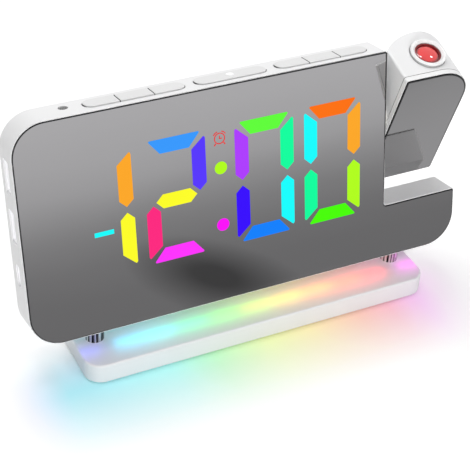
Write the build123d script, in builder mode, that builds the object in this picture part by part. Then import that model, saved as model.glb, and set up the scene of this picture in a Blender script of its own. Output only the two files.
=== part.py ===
"""Projection alarm clock: a leaning mirror display on two posts and a base plate, with a projector arm
that turns in a cut-out at the display's upper right corner. Millimetres, +Z up, the viewer at -Y."""
import os
from math import cos, radians, sin, sqrt

from build123d import *

os.makedirs("parts", exist_ok=True)

# ---------------------------------------------------------------- driving dimensions
# Display body: an L-shaped panel, seen from the front, that leans back
panel_width = 200.0
panel_height = 96.0
panel_corner_radius = 14.0
panel_lean = 11.4  # degrees back from upright
edge_depth = 14.7  # front of the mirror to the back of the flat outer edge
body_depth = 24.0  # front of the mirror to the flat of the back
back_inset = 8.0  # how far the flat of the back lies inside the outline
shell_step = 0.4  # how far the rear shell's edge lies inside the front shell's
shell_wall = 2.2
sharp_corner_radius = 1.0
step_height = 25.4  # bottom of the panel to the floor of the cut-out
notch_width = 36.2  # width of the cut-out for the projector arm
body_lift = 6.96  # base plate up to the panel's lower front edge
body_setback = 12.0  # front of the base to the panel's lower front edge
slack = 0.1  # between pieces that are put together by hand
loose_slack = 0.2  # round covers, doors and other drop-in pieces
running_gap = 0.05  # radial, round the screws and the axle

# Mirror plates, the same on the body and on the arm
mirror_thickness = 1.2
mirror_proud = 0.5  # how far the mirror stands in front of its frame
mirror_rim = 0.35  # width of the frame's rim round the mirror
mirror_gap = 0.05
mirror_bevel = 0.15

# Base plate and its two posts
base_end_setback = 19.65  # end of the panel to the end of the base
base_depth = 61.0
base_height = 8.7
base_corner_radius = 7.5
base_wall = 2.0
base_edge_radius = 0.8
base_cover_thickness = 1.6
cover_screw_inset_x = 7.0  # base edge to the cover screw's centre
cover_screw_inset_y = 6.0
cover_boss_radius = 2.6
ballast_end_gap = 19.2  # ballast to the posts' centres
ballast_side_gap = 10.5  # ballast to the base's long sides
ballast_thickness = 3.6
ballast_corner_radius = 3.0
ballast_chamfer = 0.4
foot_radius = 5.0
foot_proud = 0.6
foot_recess = 0.6
foot_edge_radius = 0.4
foot_inset_x = 13.0  # base edge to the foot's centre
foot_inset_y = 12.0
post_radius = 4.0
post_inset = 9.15  # end of the base to the post's centre
post_setback = 18.5  # front of the base to the posts' centres
post_bore_radius = 1.8
post_boss_radius = 3.2
post_screw_grip = 6.5  # screw length inside the display body
post_boss_roof = 0.8

# Fasteners
screw_radius = 1.5
screw_head_radius = 2.7
screw_head_height = 1.8
small_screw_radius = 1.0
small_head_radius = 1.9
small_head_height = 1.2
small_screw_grip = 5.5  # screw length inside its boss
hex_socket_width = 2.0
hex_socket_depth = 1.0
head_room = 0.4  # round and under a screw's head

# Keys on the top edge
key_width = 8.2  # front to back
key_setback = 7.6  # mirror's front to the keys' centre line
key_pitch = 14.3
key_row_count = 3
key_row_inset_left = 32.2  # end of the panel to the left key row
key_row_inset_right = 5.9  # cut-out to the right key row
key_row_gap = 3.95  # between the snooze key and the rows beside it
key_proud = 0.6
key_gap = 0.3
key_flange_lip = 0.9
key_flange_thickness = 1.0
key_travel = 0.7
key_stem_radius = 1.5
key_stem_length = 0.8
key_edge_radius = 0.35
switch_size = 6.0
switch_height = 3.1
plunger_radius = 1.6
plunger_height = 0.45

# Circuit boards and displays
board_thickness = 1.6
key_board_width = 9.0
key_board_margin = 2.0
mask_depth = 6.0
mask_margin = 2.4
display_board_margin = 0.8
digit_bottom = 25.6
digit_top_margin = 17.4  # top of the panel to the digits
digit_left_margin = 20.8  # end of the panel to the leading digit, which shows only a 1
digit_right_margin = 12.8  # cut-out to the last digit
digit_gap = 5.3
colon_gap = 13.2
digit_stroke = 6.0
stroke_gap = 1.1
colon_spread = 12.7  # middle of the digits to each dot of the colon
colon_drop = 4.0  # middle of the digits to the middle of the colon
colon_radius = 2.6
alarm_icon_drop = 4.3  # top of the digits to the alarm mark's centre
alarm_icon_radius = 3.4
period_mark_drop = 8.1  # middle of the digits to the half-day mark's centre
period_mark_size = (8.2, 4.6)

# Glow light under the display body
glow_end_inset = 17.0
glow_width = 2.6
glow_setback = 12.2
glow_flange = 0.8
glow_recess = 0.2
glow_flange_thickness = 1.0
glow_led_count = 14
glow_led_size = 2.0
glow_led_height = 0.9
glow_board_thickness = 0.8

# Sockets in the left side
socket_setback = 8.2
usb_opening = (14.0, 6.2)
usb_opening_radius = 0.8
usb_size = (13.2, 5.8)
usb_length = 14.0
usb_wall = 0.4
usb_tongue = (11.1, 1.9)
usb_tongue_gap = 0.6
usb_corner_gap = 1.8  # end of the rounded corner to the upper socket's opening
inlet_height = 30.6
inlet_opening = (9.9, 4.2)
inlet_size = (8.9, 3.3)
inlet_length = 8.0
inlet_tongue = (6.7, 0.7)
socket_recess = 0.6
tongue_setback = 1.0

# Microphone and temperature sensor hole in the top edge
sensor_inset = 25.0  # end of the panel to the hole
sensor_setback = 9.2
sensor_radius = 2.0
mesh_setback = 0.5
mesh_thickness = 0.8
mesh_hole_radius = 0.3
mesh_hole_count = 6

# Main board behind the left half of the display
board_left_gap = 0.4
board_right = -36.0
board_bottom = 20.0
board_top_margin = 13.4
board_screw_inset = 4.0
board_screw_inset_left = 18.0
board_screw_grip = 5.0
# Chips: place from the board's lower left corner, then length, width and thickness
chip_places = ((35.4, 40.0, 9.0, 9.0, 1.5), (35.4, 16.0, 12.0, 7.0, 1.8), (13.4, 16.0, 6.0, 6.0, 2.0))

# Rear shell
speaker_x = 27.0
speaker_height = 50.0
speaker_radius = 14.0
speaker_basket_depth = 4.0
speaker_magnet_radius = 8.0
speaker_magnet_depth = 3.4
speaker_rim = 1.5
speaker_cone_depth = 2.0
speaker_collar = 1.2
grille_hole_radius = 0.9
grille_ring_pitch = 3.2
grille_ring_count = 2
battery_x = -14.0
battery_height = 52.0
cell_radius = 10.0
cell_thickness = 3.2
cell_clearance = 0.6
cell_contact_thickness = 0.5
cell_contact_width = 4.0
cell_edge_radius = 0.5
battery_door_thickness = 1.5
battery_ledge = 1.6
battery_wall = 1.4
door_corner_radius = 1.5
door_tab = 7.0  # room beside the cell for the door's screw
rear_boss_radius = 3.8
rear_boss_front = 6.0  # mirror's front to the front of the screw bosses
rear_screw_inset = 8.0  # outline to the corner screws' centres
rear_screw_rise = 15.2  # cut-out's floor to the lower screw beside it
rear_screw_drop = 13.4  # top of the panel to the upper screw beside the cut-out
rear_screw_gap = 2.4  # wall beside the cut-out to the screws beside it
rear_screw_seat = 2.4  # rear shell material under each screw head
shelf_thickness = 1.6
shelf_xs = (-60.0, -5.0, 50.0)

# Projector arm
arm_gap = 1.9  # between the body's side wall and the arm
arm_bottom_gap = 2.95
arm_top_gap = 1.5  # top of the panel down to the top of the arm
arm_corner_radius = 17.0
arm_side_depth = 18.3
arm_depth = 25.4
arm_wall = 2.0
arm_bezel_depth = 2.6
arm_groove = 0.3
arm_forward = 28.9  # degrees the arm stands forward of the panel
pivot_drop = 30.6  # top of the panel down to the pivot
pivot_setback = 9.8
swing_clearance = 1.0

# Pivot
axle_radius = 3.4
axle_bore_radius = 2.0
bush_wall = 0.9
bush_flange_radius = 6.2
bush_flange_thickness = 1.2
axle_flange_radius = 6.6
axle_flange_thickness = 1.5
pivot_face_gap = 0.05
friction_washer_radius = 7.4
wave_washer_thickness = 1.1
clip_thickness = 1.0
clip_radius = 6.0
clip_groove = 0.7
clip_mouth = 4.6
axle_tail = 1.4
axle_chamfer = 0.3

# Projector optics, on an axis along the arm
optic_offset = -0.55  # from the middle of the arm
optic_setback = 12.3
ring_radius = 7.8
ring_bore_radius = 5.75
ring_proud = 1.5
ring_flange_radius = 8.9
ring_flange_thickness = 1.1
ring_gap = 0.15
ring_bevel = 0.5
ring_inner_bevel = 0.8
ring_cover = 3.6  # arm's top face down to the ring's flange
lens_cell_gap = 0.15
lens_cell_length = 4.0
lens_cell_below_rim = 1.2
lens_radius = 5.15
lens_edge = 0.9
lens_sag = 0.7
lens_seat_depth = 1.5
lens_aperture_radius = 4.4
focus_travel = 1.0
finger_width = 2.4
finger_thickness = 0.7
finger_length = 2.4
tube_length = 16.0
tube_wall = 1.4
tube_flange_radius = 9.4
tube_flange_thickness = 1.2
tube_throat = 2.0  # straight length under the guide fingers
optics_box_size = 16.0
optics_box_wall = 1.5
optics_box_length = 20.0
slide_thickness = 1.1
slide_window = 9.0
slide_ledge = 1.0
optics_box_radius = 1.0
condenser_radius = 6.0
condenser_edge = 1.4
condenser_sag = 1.6
lamp_size = 5.0
lamp_height = 1.2
arm_screw_inset = 4.9  # from the arm's sides
arm_screw_rise = 6.25  # bottom of the arm to the lower screws
arm_screw_drop = 9.9  # top of the arm to the upper screw
arm_post_radius = 2.2
arm_post_depth = 15.0  # mirror's front to the end of the bezel's posts
arm_boss_radius = 3.3
arm_screw_seat = 18.0  # mirror's front to the face under the screws' heads
arm_screw_floor = 2.0
optics_pad = (11.0, 14.0)

# ---------------------------------------------------------------- derived places
base_bottom = foot_proud
base_top = base_bottom + base_height
base_width = panel_width - 2 * base_end_setback
base_front_y = -base_depth / 2
post_spacing = base_width - 2 * post_inset
ballast_length = post_spacing - 2 * ballast_end_gap
ballast_width = base_depth - 2 * ballast_side_gap
post_y = base_front_y + post_setback
body_front_y = base_front_y + body_setback
body_bottom_z = base_top + body_lift
notch_x = panel_width / 2 - notch_width
arm_left = notch_x + arm_gap
arm_right = panel_width / 2
arm_bottom = step_height + arm_bottom_gap
arm_top = panel_height - arm_top_gap
pivot_height = panel_height - pivot_drop
swing_radius = pivot_height - step_height - swing_clearance
optic_x = (arm_left + arm_right) / 2 + optic_offset
arm_screw_points = (
    (arm_left + arm_screw_inset, arm_bottom + arm_screw_rise),
    (arm_right - arm_screw_inset, arm_bottom + arm_screw_rise),
    (arm_left + arm_screw_inset, arm_top - arm_screw_drop),
)
key_row_length = key_row_count * key_pitch
key_row_left = key_row_inset_left - panel_width / 2
key_row_right = notch_x - key_row_inset_right
snooze_left = key_row_left + key_row_length + key_row_gap
snooze_length = key_row_right - key_row_length - key_row_gap - snooze_left
sensor_x = sensor_inset - panel_width / 2
usb_top_height = panel_height - panel_corner_radius - usb_corner_gap - usb_opening[0] / 2
usb_heights = (usb_top_height, (usb_top_height + inlet_height) / 2)
glow_length = panel_width - 2 * glow_end_inset
board_top = panel_height - board_top_margin


class LeaningFrame:
    """A panel's own directions: x along its width, up along its face, depth behind its front face."""

    def __init__(self, origin, lean):
        self.origin = Vector(origin)
        self.up = Vector(0, sin(radians(lean)), cos(radians(lean)))
        self.back = Vector(0, cos(radians(lean)), -sin(radians(lean)))

    def point(self, x, up, depth):
        return self.origin + Vector(x, 0, 0) + self.up * up + self.back * depth

    def face(self, depth, x=0.0, up=0.0):
        """Plane across the panel at a depth: local (x, up), facing the viewer."""
        return Plane(origin=self.point(x, up, depth), x_dir=(1, 0, 0), z_dir=self.back * -1)

    def rear_face(self, depth, x=0.0, up=0.0):
        """Plane across the panel at a depth, facing away from the viewer."""
        return Plane(origin=self.point(x, up, depth), x_dir=(-1, 0, 0), z_dir=self.back)

    def top(self, up, x=0.0, depth=0.0):
        """Plane square to the panel's height: local (x, depth), facing up."""
        return Plane(origin=self.point(x, up, depth), x_dir=(1, 0, 0), z_dir=self.up)

    def left(self, x):
        """Plane square to the panel's width: local (up, depth), facing -X."""
        return Plane(origin=self.point(x, 0, 0), x_dir=self.up, z_dir=(-1, 0, 0))

    def right(self, x, up=0.0, depth=0.0):
        """Plane square to the panel's width: local (depth, up), facing +X."""
        return Plane(origin=self.point(x, up, depth), x_dir=self.back, z_dir=(1, 0, 0))


body = LeaningFrame((0, body_front_y, body_bottom_z), panel_lean)
arm_lean = panel_lean - arm_forward
pivot = body.point(0, pivot_height, pivot_setback)
arm_directions = LeaningFrame((0, 0, 0), arm_lean)
arm = LeaningFrame(pivot - arm_directions.point(0, pivot_height, pivot_setback), arm_lean)

made = []


def keep(block, name):
    """Label a finished piece and write it as one STEP file."""
    block.part.label = name
    export_step(block.part, f"parts/{name}.step")
    made.append(name)


# ---------------------------------------------------------------- shared outlines
smallest_corner = 0.2


def panel_outline(inset=0.0):
    """The display's L-shaped outline, set in on every side, as a face in the open sketch."""
    left = -panel_width / 2 + inset
    right = panel_width / 2 - inset
    bottom = inset
    top = panel_height - inset
    notch = notch_x - inset
    step = step_height - inset
    round_corner = panel_corner_radius - inset
    outer_corner = max(sharp_corner_radius - inset, smallest_corner)
    inner_corner = sharp_corner_radius + inset
    step_corner = min(round_corner, step - bottom - outer_corner - smallest_corner)
    corners = [
        ((left, bottom), round_corner),
        ((right, bottom), step_corner),
        ((right, step), outer_corner),
        ((notch, step), inner_corner),
        ((notch, top), outer_corner),
        ((left, top), round_corner),
    ]
    with BuildLine() as edge:
        FilletPolyline(*[c[0] for c in corners], radius=[c[1] for c in corners], close=True)
    make_face(edge.edges())


def arm_outline(inset=0.0):
    """The arm seen from the front, with its large rounded corner at the upper right."""
    corners = [
        ((arm_left + inset, arm_bottom + inset), sharp_corner_radius),
        ((arm_right - inset, arm_bottom + inset), sharp_corner_radius),
        ((arm_right - inset, arm_top - inset), arm_corner_radius - inset),
        ((arm_left + inset, arm_top - inset), sharp_corner_radius),
    ]
    with BuildLine() as edge:
        FilletPolyline(*[c[0] for c in corners], radius=[c[1] for c in corners], close=True)
    make_face(edge.edges())


def arm_section(front, inset=0.0):
    """The arm seen from above: flat front and sides, and a back that bulges in one arc."""
    left, right = arm_left + inset, arm_right - inset
    middle = (arm_left + arm_right) / 2
    side, back = arm_side_depth - inset / 2, arm_depth - inset
    with BuildLine() as edge:
        Polyline((left, side), (left, front), (right, front), (right, side))
        ThreePointArc((right, side), (middle, back), (left, side))
    make_face(edge.edges())


def arm_solid(front, inset=0.0):
    """The arm's body behind `front`, set in by `inset`, within the radius that clears the step."""
    with BuildPart() as solid:
        with BuildSketch(arm.top(arm_bottom + inset)):
            arm_section(front, inset)
        extrude(amount=arm_top - arm_bottom - 2 * inset)
        corners = solid.edges().filter_by(Axis((0, 0, 0), arm.back)).sort_by(Axis((0, 0, 0), arm.up))
        fillet(corners[-2:].sort_by(Axis.X)[-1], arm_corner_radius - inset)
        if inset == 0:
            fillet(corners[:2] + corners[-2:].sort_by(Axis.X)[:1], sharp_corner_radius)
        with BuildSketch(arm.right(0, pivot_height, pivot_setback)):
            Circle(swing_radius - inset)
        extrude(amount=panel_width, mode=Mode.INTERSECT)
    return solid.part


# ---------------------------------------------------------------- base plate
cover_top = base_bottom + base_cover_thickness
base_ceiling = base_top - base_wall
post_boss_bottom = cover_top + screw_head_height + head_room
cover_screw_x = base_width / 2 - cover_screw_inset_x
cover_screw_y = base_depth / 2 - cover_screw_inset_y

with BuildPart() as base_shell:
    with BuildSketch(Plane.XY.offset(base_bottom)):
        RectangleRounded(base_width, base_depth, base_corner_radius)
    extrude(amount=base_height)
    fillet(base_shell.faces().sort_by(Axis.Z)[-1].edges(), base_edge_radius)
    with BuildSketch(Plane.XY.offset(base_bottom)):
        RectangleRounded(
            base_width - 2 * base_wall, base_depth - 2 * base_wall, base_corner_radius - base_wall
        )
    extrude(amount=base_ceiling - base_bottom, mode=Mode.SUBTRACT)
    with BuildSketch(Plane.XY.offset(cover_top)):
        with GridLocations(2 * cover_screw_x, 2 * cover_screw_y, 2, 2):
            Circle(cover_boss_radius)
    extrude(amount=base_ceiling - cover_top)
    with BuildSketch(Plane.XY.offset(post_boss_bottom)):
        with Locations((-post_spacing / 2, post_y), (post_spacing / 2, post_y)):
            Circle(screw_head_radius + base_wall)
    extrude(amount=base_ceiling - post_boss_bottom)
    with BuildSketch(Plane.XY.offset(cover_top)):
        with GridLocations(2 * cover_screw_x, 2 * cover_screw_y, 2, 2):
            Circle(small_screw_radius + running_gap)
    extrude(amount=base_ceiling - cover_top, mode=Mode.SUBTRACT)
    with BuildSketch(Plane.XY.offset(post_boss_bottom)):
        with Locations((-post_spacing / 2, post_y), (post_spacing / 2, post_y)):
            Circle(screw_radius + running_gap)
    extrude(amount=base_height, mode=Mode.SUBTRACT)
keep(base_shell, "base_shell")

foot_x = base_width / 2 - foot_inset_x
foot_y = base_depth / 2 - foot_inset_y

with BuildPart() as base_cover:
    with BuildSketch(Plane.XY.offset(base_bottom)):
        RectangleRounded(
            base_width - 2 * (base_wall + loose_slack),
            base_depth - 2 * (base_wall + loose_slack),
            base_corner_radius - base_wall - loose_slack,
        )
    extrude(amount=base_cover_thickness)
    with BuildSketch(Plane.XY.offset(base_bottom)):
        with GridLocations(2 * foot_x, 2 * foot_y, 2, 2):
            Circle(foot_radius + loose_slack)
    extrude(amount=foot_recess, mode=Mode.SUBTRACT)
    with Locations(Plane.XY.offset(base_bottom)):
        with GridLocations(2 * cover_screw_x, 2 * cover_screw_y, 2, 2):
            with Locations(Location((0, 0, 0), (180, 0, 0))):
                CounterSinkHole(small_screw_radius + slack, small_head_radius, base_cover_thickness)
keep(base_cover, "base_cover")

with BuildPart() as base_ballast:
    with BuildSketch(Plane.XY.offset(cover_top)):
        RectangleRounded(ballast_length, ballast_width, ballast_corner_radius)
    extrude(amount=ballast_thickness)
    chamfer(base_ballast.edges().group_by(Axis.Z)[-1], ballast_chamfer)
keep(base_ballast, "base_ballast")

with BuildPart() as foot_pads:
    with BuildSketch(Plane.XY):
        with GridLocations(2 * foot_x, 2 * foot_y, 2, 2):
            Circle(foot_radius)
    extrude(amount=foot_proud + foot_recess)
    fillet(foot_pads.edges().group_by(Axis.Z)[0], foot_edge_radius)
keep(foot_pads, "foot_pads")


def screw(plane, length, radius, head_radius, head_height, countersunk=False):
    """A screw whose head sits on `plane`, below it, with its shank along the plane's normal."""
    with BuildPart() as one:
        with BuildSketch(plane):
            Circle(radius)
        extrude(amount=length)
        if countersunk:
            with BuildSketch(plane) as rim:
                Circle(head_radius)
            with BuildSketch(plane.offset(head_radius - radius)) as neck:
                Circle(radius)
            loft([rim.sketch, neck.sketch])
        else:
            with BuildSketch(plane):
                Circle(head_radius)
            extrude(amount=-head_height)
            fillet(one.faces().sort_by(Axis(plane.origin, plane.z_dir))[0].edges(), head_height / 3)
        with BuildSketch(plane if countersunk else plane.offset(-head_height)):
            RegularPolygon(hex_socket_width / 2, 6)
        extrude(amount=min(head_height, hex_socket_depth), mode=Mode.SUBTRACT)
    return one.part


def screw_group(planes, *size, countersunk=False):
    """Identical screws as separate solids in one piece."""
    screws = [screw(plane, *size, countersunk=countersunk) for plane in planes]
    with BuildPart() as group:
        add(screws)
    return group


cover_screw_places = [
    Plane((x, y, base_bottom)) for x in (-cover_screw_x, cover_screw_x) for y in (-cover_screw_y, cover_screw_y)
]
base_cover_screws = screw_group(
    cover_screw_places,
    base_ceiling - cover_top,
    small_screw_radius,
    small_head_radius,
    small_head_height,
    countersunk=True,
)
keep(base_cover_screws, "base_cover_screws")

# ---------------------------------------------------------------- posts
for side, name in ((-1, "post_left"), (1, "post_right")):
    with BuildPart() as post:
        with BuildSketch(Plane.XY.offset(base_top)):
            with Locations((side * post_spacing / 2, post_y)):
                Circle(post_radius)
                Circle(post_bore_radius, mode=Mode.SUBTRACT)
        extrude(amount=2 * body_lift)
        split(bisect_by=body.top(0), keep=Keep.BOTTOM)
    keep(post, name)

post_depth = (post_y - body_front_y) / cos(radians(panel_lean))
post_top_z = body.point(0, 0, post_depth).Z
post_screw_length = post_top_z + post_screw_grip - post_boss_bottom
post_screws = screw_group(
    [Plane((side * post_spacing / 2, post_y, post_boss_bottom)) for side in (-1, 1)],
    post_screw_length,
    screw_radius,
    screw_head_radius,
    screw_head_height,
)
keep(post_screws, "post_screws")

# ---------------------------------------------------------------- front shell
rear_screw_points = [
    (rear_screw_inset - panel_width / 2, rear_screw_inset),
    (panel_width / 2 - rear_screw_inset, rear_screw_inset),
    (rear_screw_inset - panel_width / 2, panel_height - rear_screw_inset),
]
for height in (step_height + rear_screw_rise, panel_height - rear_screw_drop):
    rear_screw_points.append((notch_x - shell_wall - rear_screw_gap, height))
key_rows = [
    ("left_key", key_row_left, key_row_count, key_pitch),
    ("snooze_key", snooze_left, 1, snooze_length),
    ("right_key", key_row_right - key_row_length, key_row_count, key_pitch),
]


def row_slot(left, length, growth):
    """A key row's round-ended outline in the open sketch, grown on every side."""
    with Locations((left + length / 2, key_setback)):
        SlotOverall(length + 2 * growth, key_width + 2 * growth)


bush_radius = axle_radius + running_gap + bush_wall

with BuildPart() as front_shell:
    with BuildSketch(body.face(edge_depth)):
        panel_outline()
    extrude(amount=edge_depth - mirror_proud)
    with BuildSketch(body.face(mirror_thickness)):
        panel_outline(mirror_rim)
    extrude(amount=mirror_thickness, mode=Mode.SUBTRACT)
    with BuildSketch(body.face(edge_depth)):
        panel_outline(shell_wall)
    extrude(amount=edge_depth - mirror_thickness, mode=Mode.SUBTRACT)
    # Bosses for the rear screws, joined to the nearest wall
    with BuildSketch(body.face(edge_depth)):
        with Locations(*rear_screw_points):
            Circle(rear_boss_radius)
    extrude(amount=edge_depth - rear_boss_front)
    with BuildSketch(body.face(edge_depth)):
        with Locations(*rear_screw_points):
            Circle(small_screw_radius + running_gap)
    extrude(amount=small_screw_grip + slack, mode=Mode.SUBTRACT)
    # Bosses over the posts
    with BuildSketch(Plane.XY.offset(post_top_z)):
        with Locations((-post_spacing / 2, post_y), (post_spacing / 2, post_y)):
            Circle(post_boss_radius)
    extrude(amount=post_screw_grip + loose_slack + post_boss_roof)
    split(bisect_by=body.top(0), keep=Keep.TOP)
    with BuildSketch(Plane.XY.offset(base_top)):
        with Locations((-post_spacing / 2, post_y), (post_spacing / 2, post_y)):
            Circle(screw_radius + running_gap)
    extrude(amount=post_top_z + post_screw_grip + loose_slack - base_top, mode=Mode.SUBTRACT)
    # Key row openings and the sensor hole in the top edge
    with BuildSketch(body.top(panel_height)):
        for _, left, count, pitch in key_rows:
            row_slot(left, count * pitch, 0)
        with Locations((sensor_x, sensor_setback)):
            Circle(sensor_radius)
    extrude(amount=-shell_wall, mode=Mode.SUBTRACT)
    with BuildSketch(body.top(panel_height - shell_wall)):
        with Locations((sensor_x, sensor_setback)):
            Circle(sensor_radius + mesh_setback + slack)
    extrude(amount=shell_wall - mesh_setback, mode=Mode.SUBTRACT)
    # Slot for the glow light in the underside
    with BuildSketch(body.top(0)):
        with Locations((0, glow_setback)):
            Rectangle(glow_length, glow_width)
    extrude(amount=shell_wall, mode=Mode.SUBTRACT)
    # Socket openings in the left side
    with BuildSketch(body.left(-panel_width / 2)):
        for height in usb_heights:
            with Locations((height, socket_setback)):
                RectangleRounded(*usb_opening, usb_opening_radius)
        with Locations((inlet_height, socket_setback)):
            SlotOverall(*inlet_opening)
    extrude(amount=-shell_wall, mode=Mode.SUBTRACT)
    # Bush hole for the projector arm's axle
    with BuildSketch(body.right(notch_x, pivot_height, pivot_setback)):
        Circle(bush_radius)
    extrude(amount=-shell_wall, mode=Mode.SUBTRACT)
keep(front_shell, "front_shell")

with BuildPart() as mirror_panel:
    with BuildSketch(body.face(mirror_thickness)):
        panel_outline(mirror_rim + mirror_gap)
    extrude(amount=mirror_thickness)
    chamfer(mirror_panel.faces().sort_by(Axis(body.origin, body.back))[0].edges(), mirror_bevel)
keep(mirror_panel, "mirror_panel")

with BuildPart() as sensor_mesh:
    with BuildSketch(body.top(panel_height - mesh_setback, sensor_x, sensor_setback)):
        Circle(sensor_radius + mesh_setback)
        Circle(mesh_hole_radius, mode=Mode.SUBTRACT)
        with PolarLocations(sensor_radius / 2, mesh_hole_count):
            Circle(mesh_hole_radius, mode=Mode.SUBTRACT)
    extrude(amount=-mesh_thickness)
keep(sensor_mesh, "sensor_mesh")

# ---------------------------------------------------------------- keys
key_wall_under = panel_height - shell_wall
flange_top = key_wall_under - slack
flange_bottom = flange_top - key_flange_thickness
stem_bottom = flange_bottom - key_stem_length
plunger_top = stem_bottom - key_travel - slack
switch_bottom = plunger_top - plunger_height - switch_height
key_board_bottom = switch_bottom - board_thickness
key_centres = []


def key_cap(row_left, row_length, left, right):
    """One key: a cap cut from its row's round-ended outline, a wider flange under the wall and a stem."""
    with BuildPart() as cap:
        with BuildSketch(body.top(flange_bottom)):
            row_slot(row_left, row_length, key_flange_lip)
            with Locations(((left + right) / 2, key_setback)):
                Rectangle(right - left - key_gap, 2 * key_width, mode=Mode.INTERSECT)
        extrude(amount=key_flange_thickness)
        with BuildSketch(body.top(flange_top)):
            row_slot(row_left, row_length, -key_gap)
            with Locations(((left + right) / 2, key_setback)):
                Rectangle(right - left - key_gap, key_width, mode=Mode.INTERSECT)
        extrude(amount=panel_height + key_proud - flange_top)
        fillet(cap.faces().sort_by(Axis(body.origin, body.up))[-1].edges(), key_edge_radius)
        with BuildSketch(body.top(stem_bottom, (left + right) / 2, key_setback)):
            Circle(key_stem_radius)
        extrude(amount=key_stem_length)
    return cap


for row_name, row_left, count, pitch in key_rows:
    for index in range(count):
        left = row_left + index * pitch - (key_flange_lip if index == 0 else 0)
        right = row_left + (index + 1) * pitch + (key_flange_lip if index == count - 1 else 0)
        key = key_cap(row_left, count * pitch, left, right)
        name = row_name if count == 1 else f"{row_name}_{index + 1}"
        keep(key, name)
        key_centres.append((left + right) / 2)

with BuildPart() as tact_switches:
    with BuildSketch(body.top(switch_bottom)):
        with Locations(*[(x, key_setback) for x in key_centres]):
            Rectangle(switch_size, switch_size)
    extrude(amount=switch_height)
    with BuildSketch(body.top(switch_bottom + switch_height)):
        with Locations(*[(x, key_setback) for x in key_centres]):
            Circle(plunger_radius)
    extrude(amount=plunger_height)
keep(tact_switches, "tact_switches")

key_board_left = key_row_left - key_board_margin
key_board_right = key_row_right - key_board_margin
with BuildPart() as key_board:
    with BuildSketch(body.top(key_board_bottom)):
        with Locations(((key_board_left + key_board_right) / 2, key_setback)):
            Rectangle(key_board_right - key_board_left, key_board_width)
    extrude(amount=board_thickness)
keep(key_board, "key_board")

# ---------------------------------------------------------------- clock display behind the mirror
digit_height = panel_height - digit_bottom - digit_top_margin
digits_left = digit_left_margin - panel_width / 2
digits_right = notch_x - digit_right_margin
digit_width = (digits_right - digits_left - 2 * digit_gap - colon_gap) / 4
digit_lefts = (
    digits_left,
    digits_left + digit_width + digit_gap,
    digits_right - 2 * digit_width - digit_gap,
    digits_right - digit_width,
)
digit_middle = digit_bottom + digit_height / 2
colon_x = digit_lefts[2] - colon_gap / 2
colon_heights = (digit_middle - colon_drop - colon_spread, digit_middle - colon_drop + colon_spread)
alarm_icon_height = digit_bottom + digit_height - alarm_icon_drop
period_mark_x = digits_left + digit_width / 2
period_mark_height = digit_middle - period_mark_drop


def upright_segment(left, right_side, upper, shrink):
    """A digit's side segment in the open sketch: mitred at the digit's corner, pointed at its middle."""
    outward = 1 if right_side else -1
    upward = 1 if upper else -1
    half_gap = stroke_gap / 2 + shrink
    half = digit_stroke / 2 - shrink
    x = left + digit_width / 2 + outward * (digit_width - digit_stroke) / 2
    corner = digit_height / 2 - half_gap
    points = [
        (half, corner - shrink),
        (half, half_gap + half),
        (0, half_gap),
        (-half, half_gap + half),
        (-half, corner - shrink - 2 * half),
    ]
    placed = [(x + outward * px, digit_middle + upward * py) for px, py in points]
    Polygon(*placed, align=None)


def level_segment(left, level, shrink):
    """A digit's top (1), middle (0) or bottom (-1) segment in the open sketch."""
    half_gap = stroke_gap / 2 + shrink
    half = digit_stroke / 2 - shrink
    x = left + digit_width / 2
    y = digit_middle + level * (digit_height - digit_stroke) / 2
    outer = digit_width / 2 - half_gap - shrink
    if level == 0:
        tip = outer - digit_stroke / 2
        points = [(tip, 0), (tip - half, half), (half - tip, half), (-tip, 0), (half - tip, -half), (tip - half, -half)]
    else:
        points = [(outer, half), (-outer, half), (2 * half - outer, -half), (outer - 2 * half, -half)]
    placed = [(x + px, y + (level or 1) * py) for px, py in points]
    Polygon(*placed, align=None)


def lit_shapes(shrink):
    """Every shape that shows through the mirror: digits, colon, alarm mark and half-day mark."""
    for digit, left in enumerate(digit_lefts):
        for upper in (False, True):
            upright_segment(left, True, upper, shrink)
            if digit > 0:
                upright_segment(left, False, upper, shrink)
        if digit > 0:
            for level in (-1, 0, 1):
                level_segment(left, level, shrink)
    with Locations(*[(colon_x, height) for height in colon_heights]):
        Circle(colon_radius - shrink)
    with Locations((colon_x, alarm_icon_height)):
        Circle(alarm_icon_radius - shrink)
    with Locations((period_mark_x, period_mark_height)):
        Rectangle(period_mark_size[0] - 2 * shrink, period_mark_size[1] - 2 * shrink)


mask_left = period_mark_x - period_mark_size[0] / 2 - mask_margin
mask_right = digit_lefts[-1] + digit_width + mask_margin
mask_bottom = digit_bottom - mask_margin
mask_top = digit_bottom + digit_height + mask_margin
mask_back = mirror_thickness + mask_depth


def mask_rectangle(growth=0.0):
    with Locations(((mask_left + mask_right) / 2, (mask_bottom + mask_top) / 2)):
        Rectangle(mask_right - mask_left + 2 * growth, mask_top - mask_bottom + 2 * growth)


with BuildPart() as light_mask:
    with BuildSketch(body.face(mask_back)):
        mask_rectangle()
    extrude(amount=mask_depth)
    with BuildSketch(body.face(mask_back)):
        lit_shapes(0)
    extrude(amount=mask_depth, mode=Mode.SUBTRACT)
keep(light_mask, "light_mask")

with BuildPart() as light_guides:
    with BuildSketch(body.face(mask_back)):
        lit_shapes(slack)
    extrude(amount=mask_depth)
keep(light_guides, "light_guides")

with BuildPart() as display_board:
    with BuildSketch(body.face(mask_back + board_thickness)):
        mask_rectangle(display_board_margin)
    extrude(amount=board_thickness)
keep(display_board, "display_board")

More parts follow.
